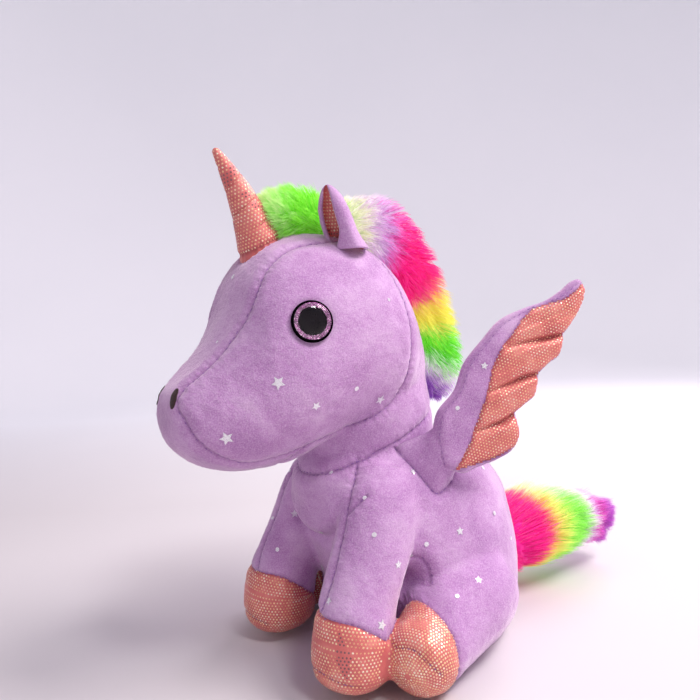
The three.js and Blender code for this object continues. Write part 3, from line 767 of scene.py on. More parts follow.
def eye_paints():
    black = Paint("eye_black", Roughness=0.85, Specular_IOR_Level=0.0)
    haze = black.noise(900, 2)
    black.set(Base_Color=black.ramp(haze, [(0.3, colour(5, 3, 6)), (0.7, colour(11, 7, 12))]))
    base = Paint("eye_glitter", Metallic=0.6, Roughness=0.3)
    fleck = base.noise(2600, 2)
    base.set(Base_Color=base.ramp(fleck, [(0.35, colour(62, 16, 64)), (0.5, colour(140, 48, 128)),
                                          (0.66, colour(196, 104, 180))]))
    clear = Paint("eye_dome", Transmission_Weight=1.0, Roughness=0.0, IOR=1.33)
    tone = clear.noise(300, 1)
    clear.set(Base_Color=clear.ramp(tone, [(0.3, colour(250, 248, 252)), (0.7, colour(255, 255, 255))]))
    return black.material, base.material, clear.material


EYE_BLACK, EYE_GLITTER, EYE_DOME = eye_paints()


def flakes(name, centres, normals, radius, tints, tilt=0.12, lift=0.08, sides=6, swell=0.05):
    """Small thin foil plates lying on a surface, each turned a little its own way."""
    n = unit(normals + rng.normal(size=normals.shape) * tilt)
    u = unit(np.cross(n, rng.normal(size=n.shape)))
    v = np.cross(n, u)
    radius = np.broadcast_to(radius, len(centres))
    points = [centres + n * (lift + swell)]
    for q in range(sides):
        angle = q / sides * 2 * pi
        points.append(centres + n * lift
                      + (u * cos(angle) + v * sin(angle)) * radius[:, None])
    points = np.stack(points, 1).reshape(-1, 3)
    start = np.arange(len(centres)) * (sides + 1)
    faces = np.concatenate([np.stack([start, start + 1 + q, start + 1 + (q + 1) % sides], 1)
                            for q in range(sides)])
    obj = new_object(name, points, faces, FOIL, smooth=False)
    point_colour(obj, "tint", np.repeat(tints, sides + 1, 0))
    return obj


def shades(points, table, seed, size=9.0, spread=0.5):
    """One colour of a table for each point, in loose patches."""
    value = ripple(points, size, seed) * 0.5 + 0.5 + rng.normal(size=len(points)) * spread * 0.3
    index = np.clip((value * len(table)).astype(int), 0, len(table) - 1)
    return np.array([c[:3] for c in table])[index]


GLITTER_SHADES = [colour(70, 16, 72), colour(130, 40, 120), colour(200, 104, 184), colour(248, 200, 242),
                  colour(84, 24, 90)]
RIM = [(0.3, -9), (2.0, -9), (2.2, -8.4), (2.2, -1.6), (8.9, -1.2), (9.5, -0.4), (9.65, 0.5),
       (9.4, 1.35), (8.9, 1.7), (8.3, 1.5), (8.1, 1.0), (0.3, 1.0)]
IRIS = [(5.6, 1.02), (8.06, 1.02), (8.06, 1.38), (7.2, 1.32), (5.6, 1.2)]
PUPIL = [(0.3, 1.04), (6.4, 1.04), (6.5, 1.3), (6.0, 1.6), (4.2, 1.85), (2, 1.95), (0.3, 1.98)]
DOME = [(0.2, 2.2), (5.9, 2.0), (7.2, 1.8), (8.1, 1.72), (8.35, 1.76)]
DOME += [(8.5 * cos(a), 1.8 + 2.7 * sin(a)) for a in np.linspace(0.04, 1.55, 16)]
GLITTER_COUNT, GLITTER_INNER, GLITTER_OUTER, GLITTER_HEIGHT = 900, 6.35, 7.95, 1.42

def eye(side, s):
    place = frame_at(EYE_CENTRE, EYE_NORMAL, s)
    centre, u, v, n = place
    cup = new_object("eye_back_" + side + "_cup", *turned(RIM, place), EYE_BLACK)
    settle(cup, "head", "eye_black", "eye_back_" + side)
    iris = new_object("eye_iris_" + side + "_ring", *turned(IRIS, place), EYE_GLITTER)
    settle(iris, "head", "eye_glitter", "eye_iris_" + side)
    angle = rng.uniform(0, 2 * pi, GLITTER_COUNT)[:, None]
    radius = np.sqrt(rng.uniform(GLITTER_INNER**2, GLITTER_OUTER**2, GLITTER_COUNT))[:, None]
    centres = centre + n * GLITTER_HEIGHT + (u * np.cos(angle) + v * np.sin(angle)) * radius
    sizes = rng.uniform(0.12, 0.26, GLITTER_COUNT)
    tints = shades(centres, GLITTER_SHADES, 5, 2.0, 1.2)
    normals = np.tile(n, (GLITTER_COUNT, 1))
    glitter = flakes("eye_glitter_" + side, centres, normals, sizes, tints, 0.35, 0.02)
    settle(glitter, "head", "eye_glitter")
    pupil = new_object("eye_pupil_" + side, *turned(PUPIL, place), EYE_BLACK)
    settle(pupil, "head", "eye_black")
    dome = new_object("eye_dome_" + side + "_lens", *turned(DOME, place, 64), EYE_DOME)
    dome.visible_shadow = False
    settle(dome, "head", "eye_dome", "eye_dome_" + side)
    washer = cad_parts["eye_washer_" + side]
    plastic = Paint("washer_plastic_" + side, Roughness=0.45)
    plastic.set(Base_Color=plastic.ramp(plastic.noise(700, 2), [
        (0.3, colour(214, 214, 214)), (0.7, colour(236, 236, 234))]))
    washer.data.materials.clear()
    washer.data.materials.append(plastic.material)


NOSTRIL_CENTRE, NOSTRIL_TALL, NOSTRIL_WIDE, NOSTRIL_THREADS = (10.5, -101.5, 147), 5.0, 3.7, 27


def nostril(side, s):
    """An oval of satin stitch."""
    at, up_way = snap(skin_tree, [np.array(NOSTRIL_CENTRE) * [s, 1, 1]])
    n = up_way[0]
    across = unit(np.cross(Z, n))
    tall = np.cross(n, across)
    rows = []
    for t in (np.arange(NOSTRIL_THREADS) - 13) / 13.6:
        spot, _ = snap(skin_tree, [at[0] + tall * t * NOSTRIL_TALL], 0.12)
        rows.append((spot[0], across, n, NOSTRIL_WIDE * sqrt(1 - t * t) + 0.4, 0.26))
    patch = threads("nostril_stitch_" + side, rows, NOSTRIL_THREAD, SATIN, 0.18)
    settle(patch, "head", "nostril_thread", "nostril_" + side)


for side, s in SIDES.items():
    eye(side, s)
for side, s in SIDES.items():
    nostril(side, s)

# ---- foil dots, printed in staggered rows ---------------------------------------------------

FOIL_SHADES = [colour(236, 158, 116), colour(246, 184, 132), colour(252, 206, 150), colour(255, 224, 176),
               colour(255, 240, 208), colour(248, 192, 158)]
MAROON = np.array(colour(104, 26, 44)[:3])


def foil_dots(name, centres, normals, radius, body_name, seed=11, dark=None):
    centres, normals = np.array(centres), np.array(normals)
    tints = shades(centres, FOIL_SHADES, seed)
    if dark is not None:
        tints[dark(centres)] = MAROON
    sizes = radius * rng.uniform(0.85, 1.1, len(centres))
    settle(flakes(name, centres, normals, sizes, tints, 0.07, 0.06), body_name, "coral_foil_fabric")


def rows_round(tree, spine, reach, pitch, row_gap, step=0.25):
    """Points in staggered rows round a path, and on over its round end."""
    spine = even_line(spine, step)
    length = (len(spine) - 1) * step
    centres, normals = [], []
    for row in range(int((length + reach * pi / 2) / row_gap)):
        s = row * row_gap
        i = min(int(s / step), len(spine) - 1)
        d = unit(spine[min(i + 4, len(spine) - 1)] - spine[max(i - 4, 0)])
        u = unit(np.cross(d, X if abs(d[0]) < 0.7 else Z))
        v = np.cross(d, u)
        tip = max(s - length, 0) / reach
        count = max(int(2 * pi * reach * cos(tip) / pitch), 1)
        for q in range(count):
            angle = (q + 0.5 * (row % 2)) / count * 2 * pi
            way = (u * cos(angle) + v * sin(angle)) * cos(tip) + d * sin(tip)
            hit = tree.ray_cast(Vector(spine[i]), Vector(way))
            if hit[0] is not None and hit[3] < reach * 1.9:
                centres.append(hit[0])
                normals.append(np.array(hit[1]) * (1 if np.dot(hit[1], way) > 0 else -1))
    return centres, normals


HOOF_RADIUS, HOOF_DOT, HOOF_DOT_PITCH, HOOF_ROW_GAP = 19, 0.5, 1.68, 1.46


def hoof_diamond(p):
    """The patch of dark dots down the front of a front hoof."""
    aside = abs((abs(p[:, 0]) - 54) * 0.53 + (p[:, 1] + 46) * 0.85 + (p[:, 2] - 27) * 0.1)
    return (aside / 4.0 + abs(p[:, 2] - 27) / 11 < 1) & (abs(p[:, 0]) > 44) & (p[:, 1] < -30)


for name in HOOVES:
    s = SIDES[name.split("_")[1]]
    shell = tree_of(skin, skin_faces[labels == name])
    if name.startswith("front"):
        spine = [(38.5 * s, -27, 43), (39.5 * s, -31, 26), (40 * s, -32, 12), (40 * s, -32.5, 7)]
    else:
        spine = [(54 * s, 9, 23), (57 * s, 4, 21.5), (60.5 * s, -4, 19.5), (62.5 * s, -8, 18.8)]
    at, up_way = rows_round(shell, spine, HOOF_RADIUS, HOOF_DOT_PITCH, HOOF_ROW_GAP)
    foil_dots("hoof_%s_foil" % name, at, up_way, HOOF_DOT, "torso", dark=hoof_diamond)

# ---- horn -----------------------------------------------------------------------------------

HORN_V = np.cross(HORN_LEAN, X)


def horn_centre(t):
    return HORN_BASE + HORN_LEAN * HORN_LENGTH * t + Y * 2.4 * sin(pi * min(max(t, 0), 1))


def horn_radius(t):
    return 10.1 * max(1 - t, 0) ** 0.85 + 1.35


WINDS, WIND_FROM, WIND_TO = 2.6, 0.2, 0.82
WIND_PITCH = (WIND_TO - WIND_FROM) / WINDS


def horn_point(t, angle, lift=0.0):
    """On the horn's skin, which swells between the turns of its thread."""
    phase = ((t - WIND_FROM) / WIND_PITCH - angle / (2 * pi)) % 1
    gap = min(phase, 1 - phase) * WIND_PITCH * HORN_LENGTH
    fade = float(smooth_step(t, WIND_FROM - 0.06, WIND_FROM + 0.03) * (1 - smooth_step(t, WIND_TO, 0.93)))
    radius = horn_radius(t) - fade * (0.4 * exp(-(gap / 0.9) ** 2) - 0.1 * min(gap / 5, 1))
    cap = sqrt(max(1 - max((t - 0.965) / 0.035, 0) ** 2, 0))
    base = -0.9 * exp(-(t / 0.03) ** 2) + 0.25 * sin(angle * 19) * exp(-(t / 0.07) ** 2)
    radius = (radius + base) * cap + lift
    return horn_centre(t) + (X * cos(angle) + HORN_V * sin(angle)) * radius


HORN_ROWS, HORN_SIDES, WIND_STEPS = np.linspace(-0.1, 1.0, 110), 96, 260
HORN_DOT_ROWS, HORN_ROW_GAP, HORN_DOT_PITCH = 31, 1.62, 1.86


def horn_skin():
    """The horn's coral skin, a little darker all over, with shade painted along its thread's crease and round
    its foot, and a search tree of it.
    """
    angles = np.arange(HORN_SIDES) / HORN_SIDES * 2 * pi
    points, faces = tube([[horn_point(t, a) for a in angles] for t in HORN_ROWS])
    obj = new_object("horn_skin", points, faces, CORAL)
    t = np.repeat(HORN_ROWS, HORN_SIDES)
    phase = ((t - WIND_FROM) / WIND_PITCH - np.tile(angles, len(HORN_ROWS)) / (2 * pi)) % 1
    crease_shade = 0.3 * np.exp(-(np.minimum(phase, 1 - phase) * WIND_PITCH * HORN_LENGTH / 0.9) ** 2)
    crease_shade *= (t > WIND_FROM) * (t < WIND_TO)
    # Painted shade in the thread's crease and round the horn's foot, over a darker tone of the horn's own.
    point_value(obj, "seam", np.maximum(0.25 + crease_shade, np.exp(-(t / 0.03) ** 2)))
    return obj, tree_of(points, [f for f in faces if len(f) == 4])


def horn_winding():
    rings = []
    for share in np.arange(WIND_STEPS + 1) / WIND_STEPS:
        t = WIND_FROM + (WIND_TO - WIND_FROM) * share
        at = horn_point(t, 2 * pi * WINDS * share, 0.12)
        rings.append(oval(at, unit(at - horn_centre(t)), HORN_LEAN, 0.22, 0.22, 8))
    return new_object("horn_winding", *tube(rings), HORN_THREAD)


def horn_foil(tree):
    at, up_way = [], []
    for row in range(HORN_DOT_ROWS):
        t = 0.02 + row * HORN_ROW_GAP / HORN_LENGTH
        count = int(2 * pi * horn_radius(t) / HORN_DOT_PITCH)
        for q in range(count):
            angle = (q + 0.5 * (row % 2)) / count * 2 * pi
            spot = horn_point(t, angle)
            at.append(tree.find_nearest(Vector(spot))[0])
            up_way.append(unit(horn_point(t, angle, 1.0) - spot))
    foil_dots("horn_foil", at, up_way, 0.52, "head", 12, dark=lambda p: (
        (ripple(p, 8, 61) > 0.35) & (abs(abs(p[:, 2] - 238) - 9) < 8)))


horn, horn_tree = horn_skin()
horn_thread = horn_winding()
horn_foil(horn_tree)
settle(horn, "head", "coral_foil_fabric", "horn_shell", "horn_filling", fill=0.95)
settle(horn_thread, "head", "horn_thread", "horn_thread")

# ---- ears: leaves folded round their length, open towards the front ---------------------------

EAR_ROOT, EAR_HEIGHT, EAR_THICK = np.array([28, -17, 213.0]), 31.5, 2.4
EAR_WIDTH = [(0, 12.8), (3, 12), (8, 11), (14, 10.8), (20, 9.8), (25, 7.8), (28.5, 5.2), (30.6, 2.8),
             (31.5, 1)]
EAR_COLUMNS = 34  # points across the ear's outer face, and as many across its lining
LINING_FROM, LINING_TO = EAR_COLUMNS + 3, 2 * EAR_COLUMNS - 1  # lengthwise edges of the lining
DOT_ROWS, DOT_ROW_GAP, DOT_PITCH, DOT_SPREAD = 17, 1.6, 1.9, radians(118)


def ear_width(h):
    return float(np.interp(h, *zip(*EAR_WIDTH)))


def ear_point(side, h, angle, inset):
    """On the ear's skin: the angle is 0 at its back and opens to both sides of the slit."""
    width = ear_width(h)
    depth = (width * 0.68 + 0.8 + 1.4 * max(1 - h / 9, 0)) * (1 if cos(angle) > 0 else 0.62)
    facing = unit(np.array([0.05, -1.0, 0.0]))
    across = np.array([-facing[1], facing[0], 0.0])
    lean = np.array([-0.05, -0.24, 1.0])
    centre = EAR_ROOT + lean * (h - 1.5) + facing * 1.5 * sin(h / EAR_HEIGHT * pi)
    aside = across * max(width - inset, 0.25) * sin(angle)
    return (centre + aside - facing * max(depth - inset, 0.2) * cos(angle)) * [side, 1, 1]


def ear_shape(side):
    rings = []
    for h in np.linspace(0, EAR_HEIGHT, 46):
        reach = radians(136 + 40 * max(1 - h / 11, 0) ** 1.5)
        thick = min(EAR_THICK, 0.25 + (EAR_HEIGHT - h) * 0.35)
        outer = [ear_point(side, h, a, 0) for a in np.linspace(-reach, reach, EAR_COLUMNS)]
        inner = [ear_point(side, h, a, thick)
                 for a in np.linspace(reach * 0.985, -reach * 0.985, EAR_COLUMNS)]
        middle_out = ear_point(side, h, reach * 1.05, thick / 2)
        middle_in = ear_point(side, h, -reach * 1.05, thick / 2)
        rings.append(outer + [middle_out] + inner + [middle_in])
    return np.array(rings)


def ear_foil(side, s, tree):
    at, up_way = [], []
    for row in range(DOT_ROWS):
        h = 2.5 + row * DOT_ROW_GAP
        width = ear_width(h) - EAR_THICK
        for q in range(-16, 17):
            angle = (q + 0.5 * (row % 2)) * DOT_PITCH / max(width, 1)
            if abs(angle) <= DOT_SPREAD and width >= 1.2:
                spot = ear_point(s, h, angle, EAR_THICK)
                at.append(np.array(tree.find_nearest(Vector(spot))[0]))
                up_way.append(unit(ear_point(s, h, angle, EAR_THICK + 1) - spot))
    foil_dots("ear_foil_" + side, at, up_way, 0.5, "ear_" + side, 13, dark=lambda p: ripple(p, 8, 62) > 0.45)


def ear(side, s):
    rings = ear_shape(s)
    points, faces = tube(rings)
    count = rings.shape[1]
    column = np.array([min(f) % count if len(f) == 4 else -1 for f in faces])
    is_lining = (column >= LINING_FROM) & (column < LINING_TO)
    outer_faces = [f for f, k in zip(faces, is_lining) if not k]
    lining_faces = np.array([f for f, k in zip(faces, is_lining) if k])
    lumps = 0.12 * unit(points - points.mean(0)) * ripple(points, 4, 31)[:, None]
    outer = new_object("ear_skin_" + side, points + lumps, outer_faces, MINKY)
    used, inverse = np.unique(lining_faces, return_inverse=True)
    inverse = inverse.reshape(-1, 4)
    lining = new_object("ear_lining_skin_" + side, points[used], inverse, CORAL)
    # Painted shade along the lining's long edges, where it turns in to meet the outer skin.
    edge_gap = np.minimum(abs(used % count - LINING_FROM), abs(used % count - LINING_TO))
    point_value(lining, "seam", np.exp(-(edge_gap / 1.5) ** 2))
    point_value(outer, "seam", np.zeros(len(points)))
    ear_foil(side, s, tree_of(points[used], inverse))
    settle(outer, "ear_" + side, "lavender_minky", "ear_outer_" + side, fill=0.4)
    settle(lining, "ear_" + side, "coral_foil_fabric", "ear_lining_" + side)


for side, s in SIDES.items():
    ear(side, s)

# ---- wings ------------------------------------------------------------------------------------

WING_ROOT, WING_SPREAD, WING_HALF = np.array([49, 25, 90.0]), radians(25), 4.4
LEADING_EDGE = [(2, 8.4), (-5, 11), (-7.5, 20), (-8, 30), (-6, 38), (3.8, 49.6), (9, 62), (19.4, 74),
                (28, 82.6), (42.7, 88.6), (53.3, 91.6), (61, 96), (67.4, 100.6), (71.4, 101.4), (74.5, 96.7)]
LOBES = [[(74.5, 96.7), (74, 92.7), (71, 85.8), (65.5, 78), (62, 74)],
         [(62, 74), (61.4, 69), (59, 63), (54.2, 60), (48.2, 55)],
         [(48.2, 55), (47.4, 49.7), (45.6, 43.7), (40.7, 40), (34.8, 35.8)],
         [(34.8, 35.8), (36, 31), (37, 25), (35.7, 21), (33.4, 17.6), (24.8, 12.7), (15.4, 9.9),
          (4.9, 7.2), (2, 8.4)]]
ARM_EDGE = [(1.9, 9.4), (9, 21), (12.7, 30), (16.7, 39.7), (19.7, 47.5), (22.8, 58.4), (27.3, 68),
            (33.9, 75.8), (41, 84.2), (45, 87.2), (51, 89.2), (60.7, 91.4), (67, 94.6), (72.8, 99.4)]
LOW_EDGE = [(36, 21), (32.5, 18.4), (29.2, 16.6), (22.8, 14), (14.4, 12.2), (5, 10)]
FOLDS = [[(62, 74), (48.3, 72), (32, 70)], [(48.2, 55), (39, 53.3), (30.7, 50.3), (21, 48)],
         [(34.8, 35.8), (30, 33), (21.5, 30.2), (13, 28.3)]]
WING_DOT_PITCH, WING_ROW_GAP, ROW_COS, ROW_SIN = 1.62, 1.4, 0.94, 0.34
MEMBRANE = ARM_EDGE + [(120, 104), (120, 22)] + LOW_EDGE


def planar(stops, steps=12):
    return curve([(a, h, 0) for a, h in stops], steps)[:, :2]


def away_from(points, line):
    """Distance from flat points to a flat path, and the nearest place on it."""
    line = even_line(np.column_stack([line, np.zeros(len(line))]), 0.25)[:, :2]
    gap = np.linalg.norm(points[:, None] - line[None], axis=2)
    near = gap.argmin(1)
    return gap[np.arange(len(points)), near], line[near], near / max(len(line) - 1, 1)


def wing_ways(side):
    """The ways along a wing and out of its printed face."""
    return (np.array([sin(WING_SPREAD) * side, cos(WING_SPREAD), 0]),
            np.array([cos(WING_SPREAD) * side, -sin(WING_SPREAD), 0]))


def wing_place(side, flat, n):
    out, face = wing_ways(side)
    root = WING_ROOT * [side, 1, 1]
    return root + flat[:, :1] * out + flat[:, 1:] * Z + np.asarray(n)[:, None] * face


def wing_sheet():
    """Flat points and square cells of a wing; those next to its edge are moved onto the edge."""
    cell = 0.9
    a, h = np.meshgrid(np.arange(-10, 78, cell), np.arange(4, 104, cell), indexing="ij")
    flat = np.column_stack([a.ravel(), h.ravel()])
    is_in = inside(OUTLINE, flat[:, 0], flat[:, 1])
    edge_away, edge_near, _ = away_from(flat, np.array(OUTLINE))
    depth = np.where(is_in, edge_away, -edge_away)
    on_edge = abs(depth) <= cell * 0.5
    flat[on_edge], depth[on_edge] = edge_near[on_edge], 0
    index = np.arange(len(flat)).reshape(a.shape)
    cells = np.stack([index[:-1, :-1], index[1:, :-1], index[1:, 1:], index[:-1, 1:]], -1).reshape(-1, 4)
    cells = cells[(depth >= 0)[cells].all(1)]
    sides = np.sort(np.stack([cells, np.roll(cells, 1, 1)], -1).reshape(-1, 2), axis=1)
    sides, times = np.unique(sides, axis=0, return_counts=True)
    rim = np.unique(sides[times == 1])
    flat[rim], depth[rim] = edge_near[rim], 0
    return flat, depth, cells[~(depth[cells] == 0).all(1)]


def wing_relief():
    """Heights of both faces off the wing's middle, and the shade painted along its seams and in its folds."""
    arm_away = np.minimum(away_from(flat, arm_line)[0], away_from(flat, planar(LOW_EDGE))[0])
    is_lobe = inside(MEMBRANE, flat[:, 0], flat[:, 1])
    round_off = np.sqrt(np.clip(1 - (1 - np.clip(depth / 6.5, 0, 1)) ** 2, 0, 1))
    fold_shift = np.zeros(len(flat))
    lobe_swell = np.zeros(len(flat))
    for fold in FOLDS:
        away, _, t = away_from(flat, planar(fold))
        fade = 1 - 0.7 * smooth_step(t, 0.3, 1.0)
        fold_shift -= 3.0 * fade * np.exp(-(away / 1.5) ** 2)
        lobe_swell += 0.8 * np.exp(-((away - 5.5) / 3.5) ** 2)
    ribs = 0.16 * np.sin((flat[:, 1] * ROW_COS - flat[:, 0] * ROW_SIN) * 2 * pi / 3.2)
    inward = np.clip(depth / 2.5, 0, 1)
    lead_away = away_from(flat, planar(LEADING_EDGE))[0]
    lead_groove = np.exp(-((lead_away - 2.1) / 0.8) ** 2) * ~is_lobe
    front = WING_HALF * round_off + np.where(is_lobe, (fold_shift + lobe_swell - 0.7 + ribs) * inward, 0)
    front -= np.exp(-(arm_away / 0.9) ** 2) * inward + 0.6 * lead_groove
    rear = -WING_HALF * 0.9 * round_off - fold_shift * 0.35 * inward
    sag = 0.35 * ripple(np.column_stack([flat, flat[:, :1] * 0]), 15, 21) * round_off
    # Painted shade along the arm's seam and the leading edge's groove, and in the folds of the membrane.
    seam = np.maximum(np.exp(-(arm_away / 1.1) ** 2), 0.7 * lead_groove)
    return (front + sag, rear + sag), seam, 0.8 * np.clip(-fold_shift / 2.6, 0, 1)


OUTLINE = [tuple(p) for p in np.vstack([planar(LEADING_EDGE)] + [planar(lobe)[1:] for lobe in LOBES])]
arm_line = planar(ARM_EDGE)
flat, depth, cells = wing_sheet()
wing_heights, wing_seam_shade, wing_fold_shade = wing_relief()
coral_cell = inside(MEMBRANE, *flat[cells].mean(1).T) & (depth[cells].mean(1) > 0.8)


def compact(points, faces, *values):
    used, inverse = np.unique(faces, return_inverse=True)
    return (points[used], inverse.reshape(-1, faces.shape[1])) + tuple(v[used] for v in values)


def wing_grid():
    """Flat places of the foil dots, in rows that lean with the membrane."""
    grid = []
    for i in range(-70, 90):
        for j in range(-20, 90):
            a, h = (i + 0.5 * (j % 2)) * WING_DOT_PITCH, j * WING_ROW_GAP
            grid.append((a * ROW_COS + h * ROW_SIN, h * ROW_COS - a * ROW_SIN + 12))
    grid = np.array(grid)
    return grid[inside(OUTLINE, *grid.T) & inside(MEMBRANE, *grid.T)]


def wing_foil(side, s, tree):
    face_way = wing_ways(s)[1]
    at, up_way = [], []
    grid = wing_grid()
    for p in wing_place(s, grid, np.full(len(grid), 20.0)):
        hit = tree.ray_cast(Vector(p), Vector(-face_way))
        if hit[0] is not None:
            at.append(np.array(hit[0]))
            up_way.append(np.array(hit[1]) * (1 if np.dot(hit[1], face_way) > 0 else -1))
    foil_dots("wing_foil_" + side, at, up_way, 0.4, "wing_" + side, 14)


def wing_sail(side, s):
    """The padded wing: the minky arm and back, the printed membrane and their sewing."""
    both = np.vstack([wing_place(s, flat, height) for height in wing_heights])
    front_cells, rear_cells = cells, cells[:, ::-1]
    rear_cells = np.where(depth[rear_cells] > 0, rear_cells + len(flat), rear_cells)
    if s < 0:
        rear_cells, front_cells = rear_cells[:, ::-1], front_cells[:, ::-1]
    purple = np.vstack([front_cells[~coral_cell], rear_cells])
    points, faces, value = compact(both, purple, np.concatenate([wing_seam_shade, wing_seam_shade * 0]))
    sail = new_object("wing_skin_" + side, points, faces, MINKY)
    point_value(sail, "seam", value)
    # painted shade of the seams and folds, for the membrane
    seam_and_fold_shade = np.tile(np.maximum(wing_seam_shade, wing_fold_shade), 2)
    points, faces, value = compact(both, front_cells[coral_cell], seam_and_fold_shade)
    membrane = new_object("wing_membrane_skin_" + side, points, faces, CORAL)
    point_value(membrane, "seam", value)
    wing_foil(side, s, tree_of(points, faces))
    tree = tree_of(both, np.vstack([front_cells, rear_cells]))
    lead_line = planar(LEADING_EDGE)[14:-8] + [1.9, -0.6]
    lines = [snap(tree, wing_place(s, line, np.full(len(line), WING_HALF)))[0]
             for line in (lead_line, arm_line[14:-14])]
    sewing = stitches("wing_stitching_" + side, lines, tree, PURPLE_THREAD)
    settle(sail, "wing_" + side, "lavender_minky", "wing_back_" + side, "wing_batting_" + side, fill=0.6)
    settle(membrane, "wing_" + side, "coral_foil_fabric", "wing_membrane_" + side)
    settle(sewing, "wing_" + side, "lavender_minky")
    return tree


FOOT_SIDES, FOOT_RINGS = 56, 22
PATCH_TOP = [(40, 27, 106), (36, 14, 110)]


def wing_foot(side, s):
    """The arm's foot, sewn to the body in a rounded V and swept up to the arm."""
    patch = even_line(curve(WING_PATCH + PATCH_TOP + WING_PATCH[:1], 8), 0.5) * [s, 1, 1]
    out, face_way = wing_ways(s)
    foot, foot_up = snap(skin_tree, patch, -0.5)
    spokes = patch - patch.mean(0)
    angle = np.arctan2(spokes @ Z, spokes @ out)
    order = np.argsort(angle)
    turns = np.arange(FOOT_SIDES) / FOOT_SIDES * 2 * pi - pi
    foot_ring, foot_n = [np.stack([np.interp(turns, angle[order], v[order, k], period=2 * pi)
                                   for k in range(3)], 1) for v in (foot, foot_up)]
    foot_n = unit(foot_n)
    top_centre = WING_ROOT * [s, 1, 1] + out * 4.2 + Z * 35
    top_ring = top_centre + np.cos(turns)[:, None] * out * 10.7 - np.sin(turns)[:, None] * face_way * 4.7
    rings = []
    for t in np.linspace(0, 1, FOOT_RINGS):
        h0, h1 = 2 * t**3 - 3 * t**2 + 1, 3 * t**2 - 2 * t**3
        g0, g1 = t**3 - 2 * t**2 + t, t**3 - t**2
        rings.append(h0 * foot_ring + g0 * (foot_n * 9 + Z * 14) + h1 * top_ring + g1 * (Z * 24))
    points, faces = tube(rings)
    collar = new_object("wing_foot_" + side, points, [f for f in faces if len(f) == 4], MINKY)
    # Painted shade round the collar's foot, where it is sewn to the body.
    point_value(collar, "seam", np.repeat(np.exp(-(np.arange(FOOT_RINGS) / 0.8) ** 2), FOOT_SIDES))
    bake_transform(collar)
    settle(collar, None, "lavender_minky", "wing_root_" + side, fill=0.6)


sail_trees = {}
for side, s in SIDES.items():
    sail_trees[side] = wing_sail(side, s)
    wing_foot(side, s)

# ---- fur ----------------------------------------------------------------------------------------

FORELOCK = [(-10, 225, 9, 10), (-15, 226, 11, 12), (-22, 229.5, 13, 14), (-31, 230.5, 13, 13.5),
            (-39, 231, 11, 11), (-45, 231, 7, 7), (-47.5, 231, 3, 3)]
MANE = [(-11, 222, 10, 11), (4, 225, 15, 17.5), (16, 223, 18, 20.5), (27, 212, 19, 20.5), (36, 196.5, 20, 21),
        (42.5, 177.5, 20, 20), (48, 159, 19, 20), (49, 144, 15, 19), (47, 131, 8, 11)]
TAIL = [(92, 31, 11, 17), (97.5, 31, 13, 19), (104, 33, 18.4, 24), (113, 35, 22, 27), (130, 37.5, 22, 24),
        (150, 36.5, 19.5, 20), (168, 35, 17, 17.5), (181, 33, 13, 14.5), (190, 31, 7, 9), (194, 31, 2.5, 3.5)]


def bands(value, table):
    """Colours of a dyed pile: each row is where a colour starts, with soft changes between."""
    at = np.array([row[0] for row in table], float)
    shades_of = np.array([colour(*row[1:])[:3] for row in table])
    i = np.clip(np.searchsorted(at, value) - 1, 0, len(at) - 2)
    t = np.clip((value - at[i]) / (at[i + 1] - at[i]), 0, 1)[:, None]
    t = t * t * (3 - 2 * t)
    return shades_of[i] * (1 - t) + shades_of[i + 1] * t


MANE_BANDS = [  # degrees round the back of the head, from the forehead down
    (-60, 120, 60, 170), (-42, 150, 84, 190), (-34, 206, 170, 220), (-31, 246, 240, 250),
    (-25, 205, 250, 190), (-20, 96, 226, 40), (-8, 130, 244, 50), (-1, 236, 246, 110), (8, 250, 240, 84),
    (20, 255, 232, 110), (28, 255, 96, 150), (34, 252, 18, 140), (60, 255, 20, 150), (69, 244, 100, 196),
    (74, 222, 164, 226), (83, 236, 214, 240), (89, 250, 246, 230), (96, 240, 250, 196),
    (103, 160, 244, 90), (125, 120, 240, 50)]
TAIL_BANDS = [  # distance behind the neck, mm
    (80, 255, 8, 150), (124, 255, 14, 148), (129, 255, 90, 140), (132, 255, 205, 90), (137, 250, 240, 120),
    (145, 224, 250, 110), (150, 160, 248, 84), (164, 150, 246, 90), (169, 214, 250, 190),
    (173, 244, 226, 250), (178, 226, 150, 226), (183, 226, 70, 190), (200, 190, 70, 200)]


def mane_tint(points, jitter):
    angle = np.degrees(np.arctan2(points[:, 2] - 170, points[:, 1] - 5))
    return bands(angle + jitter * 4.5, MANE_BANDS)


def forelock_tint(points, jitter):
    pale = smooth_step(-points[:, 1] + jitter * 4, 33, 50)[:, None]
    low = smooth_step(-points[:, 2] + jitter * 2, -234, -222)[:, None]
    shade = np.array(colour(150, 252, 58)[:3]) * (1 - pale) + np.array(colour(216, 255, 168)[:3]) * pale
    return shade * (1 - 0.3 * low)


def tail_tint(points, jitter):
    base = bands(points[:, 1] + jitter * 3 + 0.02 * (points[:, 2] - 38) ** 2, TAIL_BANDS)
    root = (1 - smooth_step(points[:, 1] + points[:, 2] * 0.8 + jitter * 3, 106, 120))[:, None]
    base = base * (1 - root) + np.array(colour(176, 60, 186)[:3]) * root
    top = 0.55 * smooth_step(points[:, 2] + jitter * 2 + points[:, 1] * 0.24, 87, 96)[:, None]
    return base * (1 - top) + np.array(colour(252, 244, 246)[:3]) * top


def pile_path(stops):
    rows = curve([(0, y, z, a, b) for y, z, a, b in stops], 8)
    along = unit(np.gradient(rows[:, :3], axis=0))
    return rows, along, np.cross(along, X)


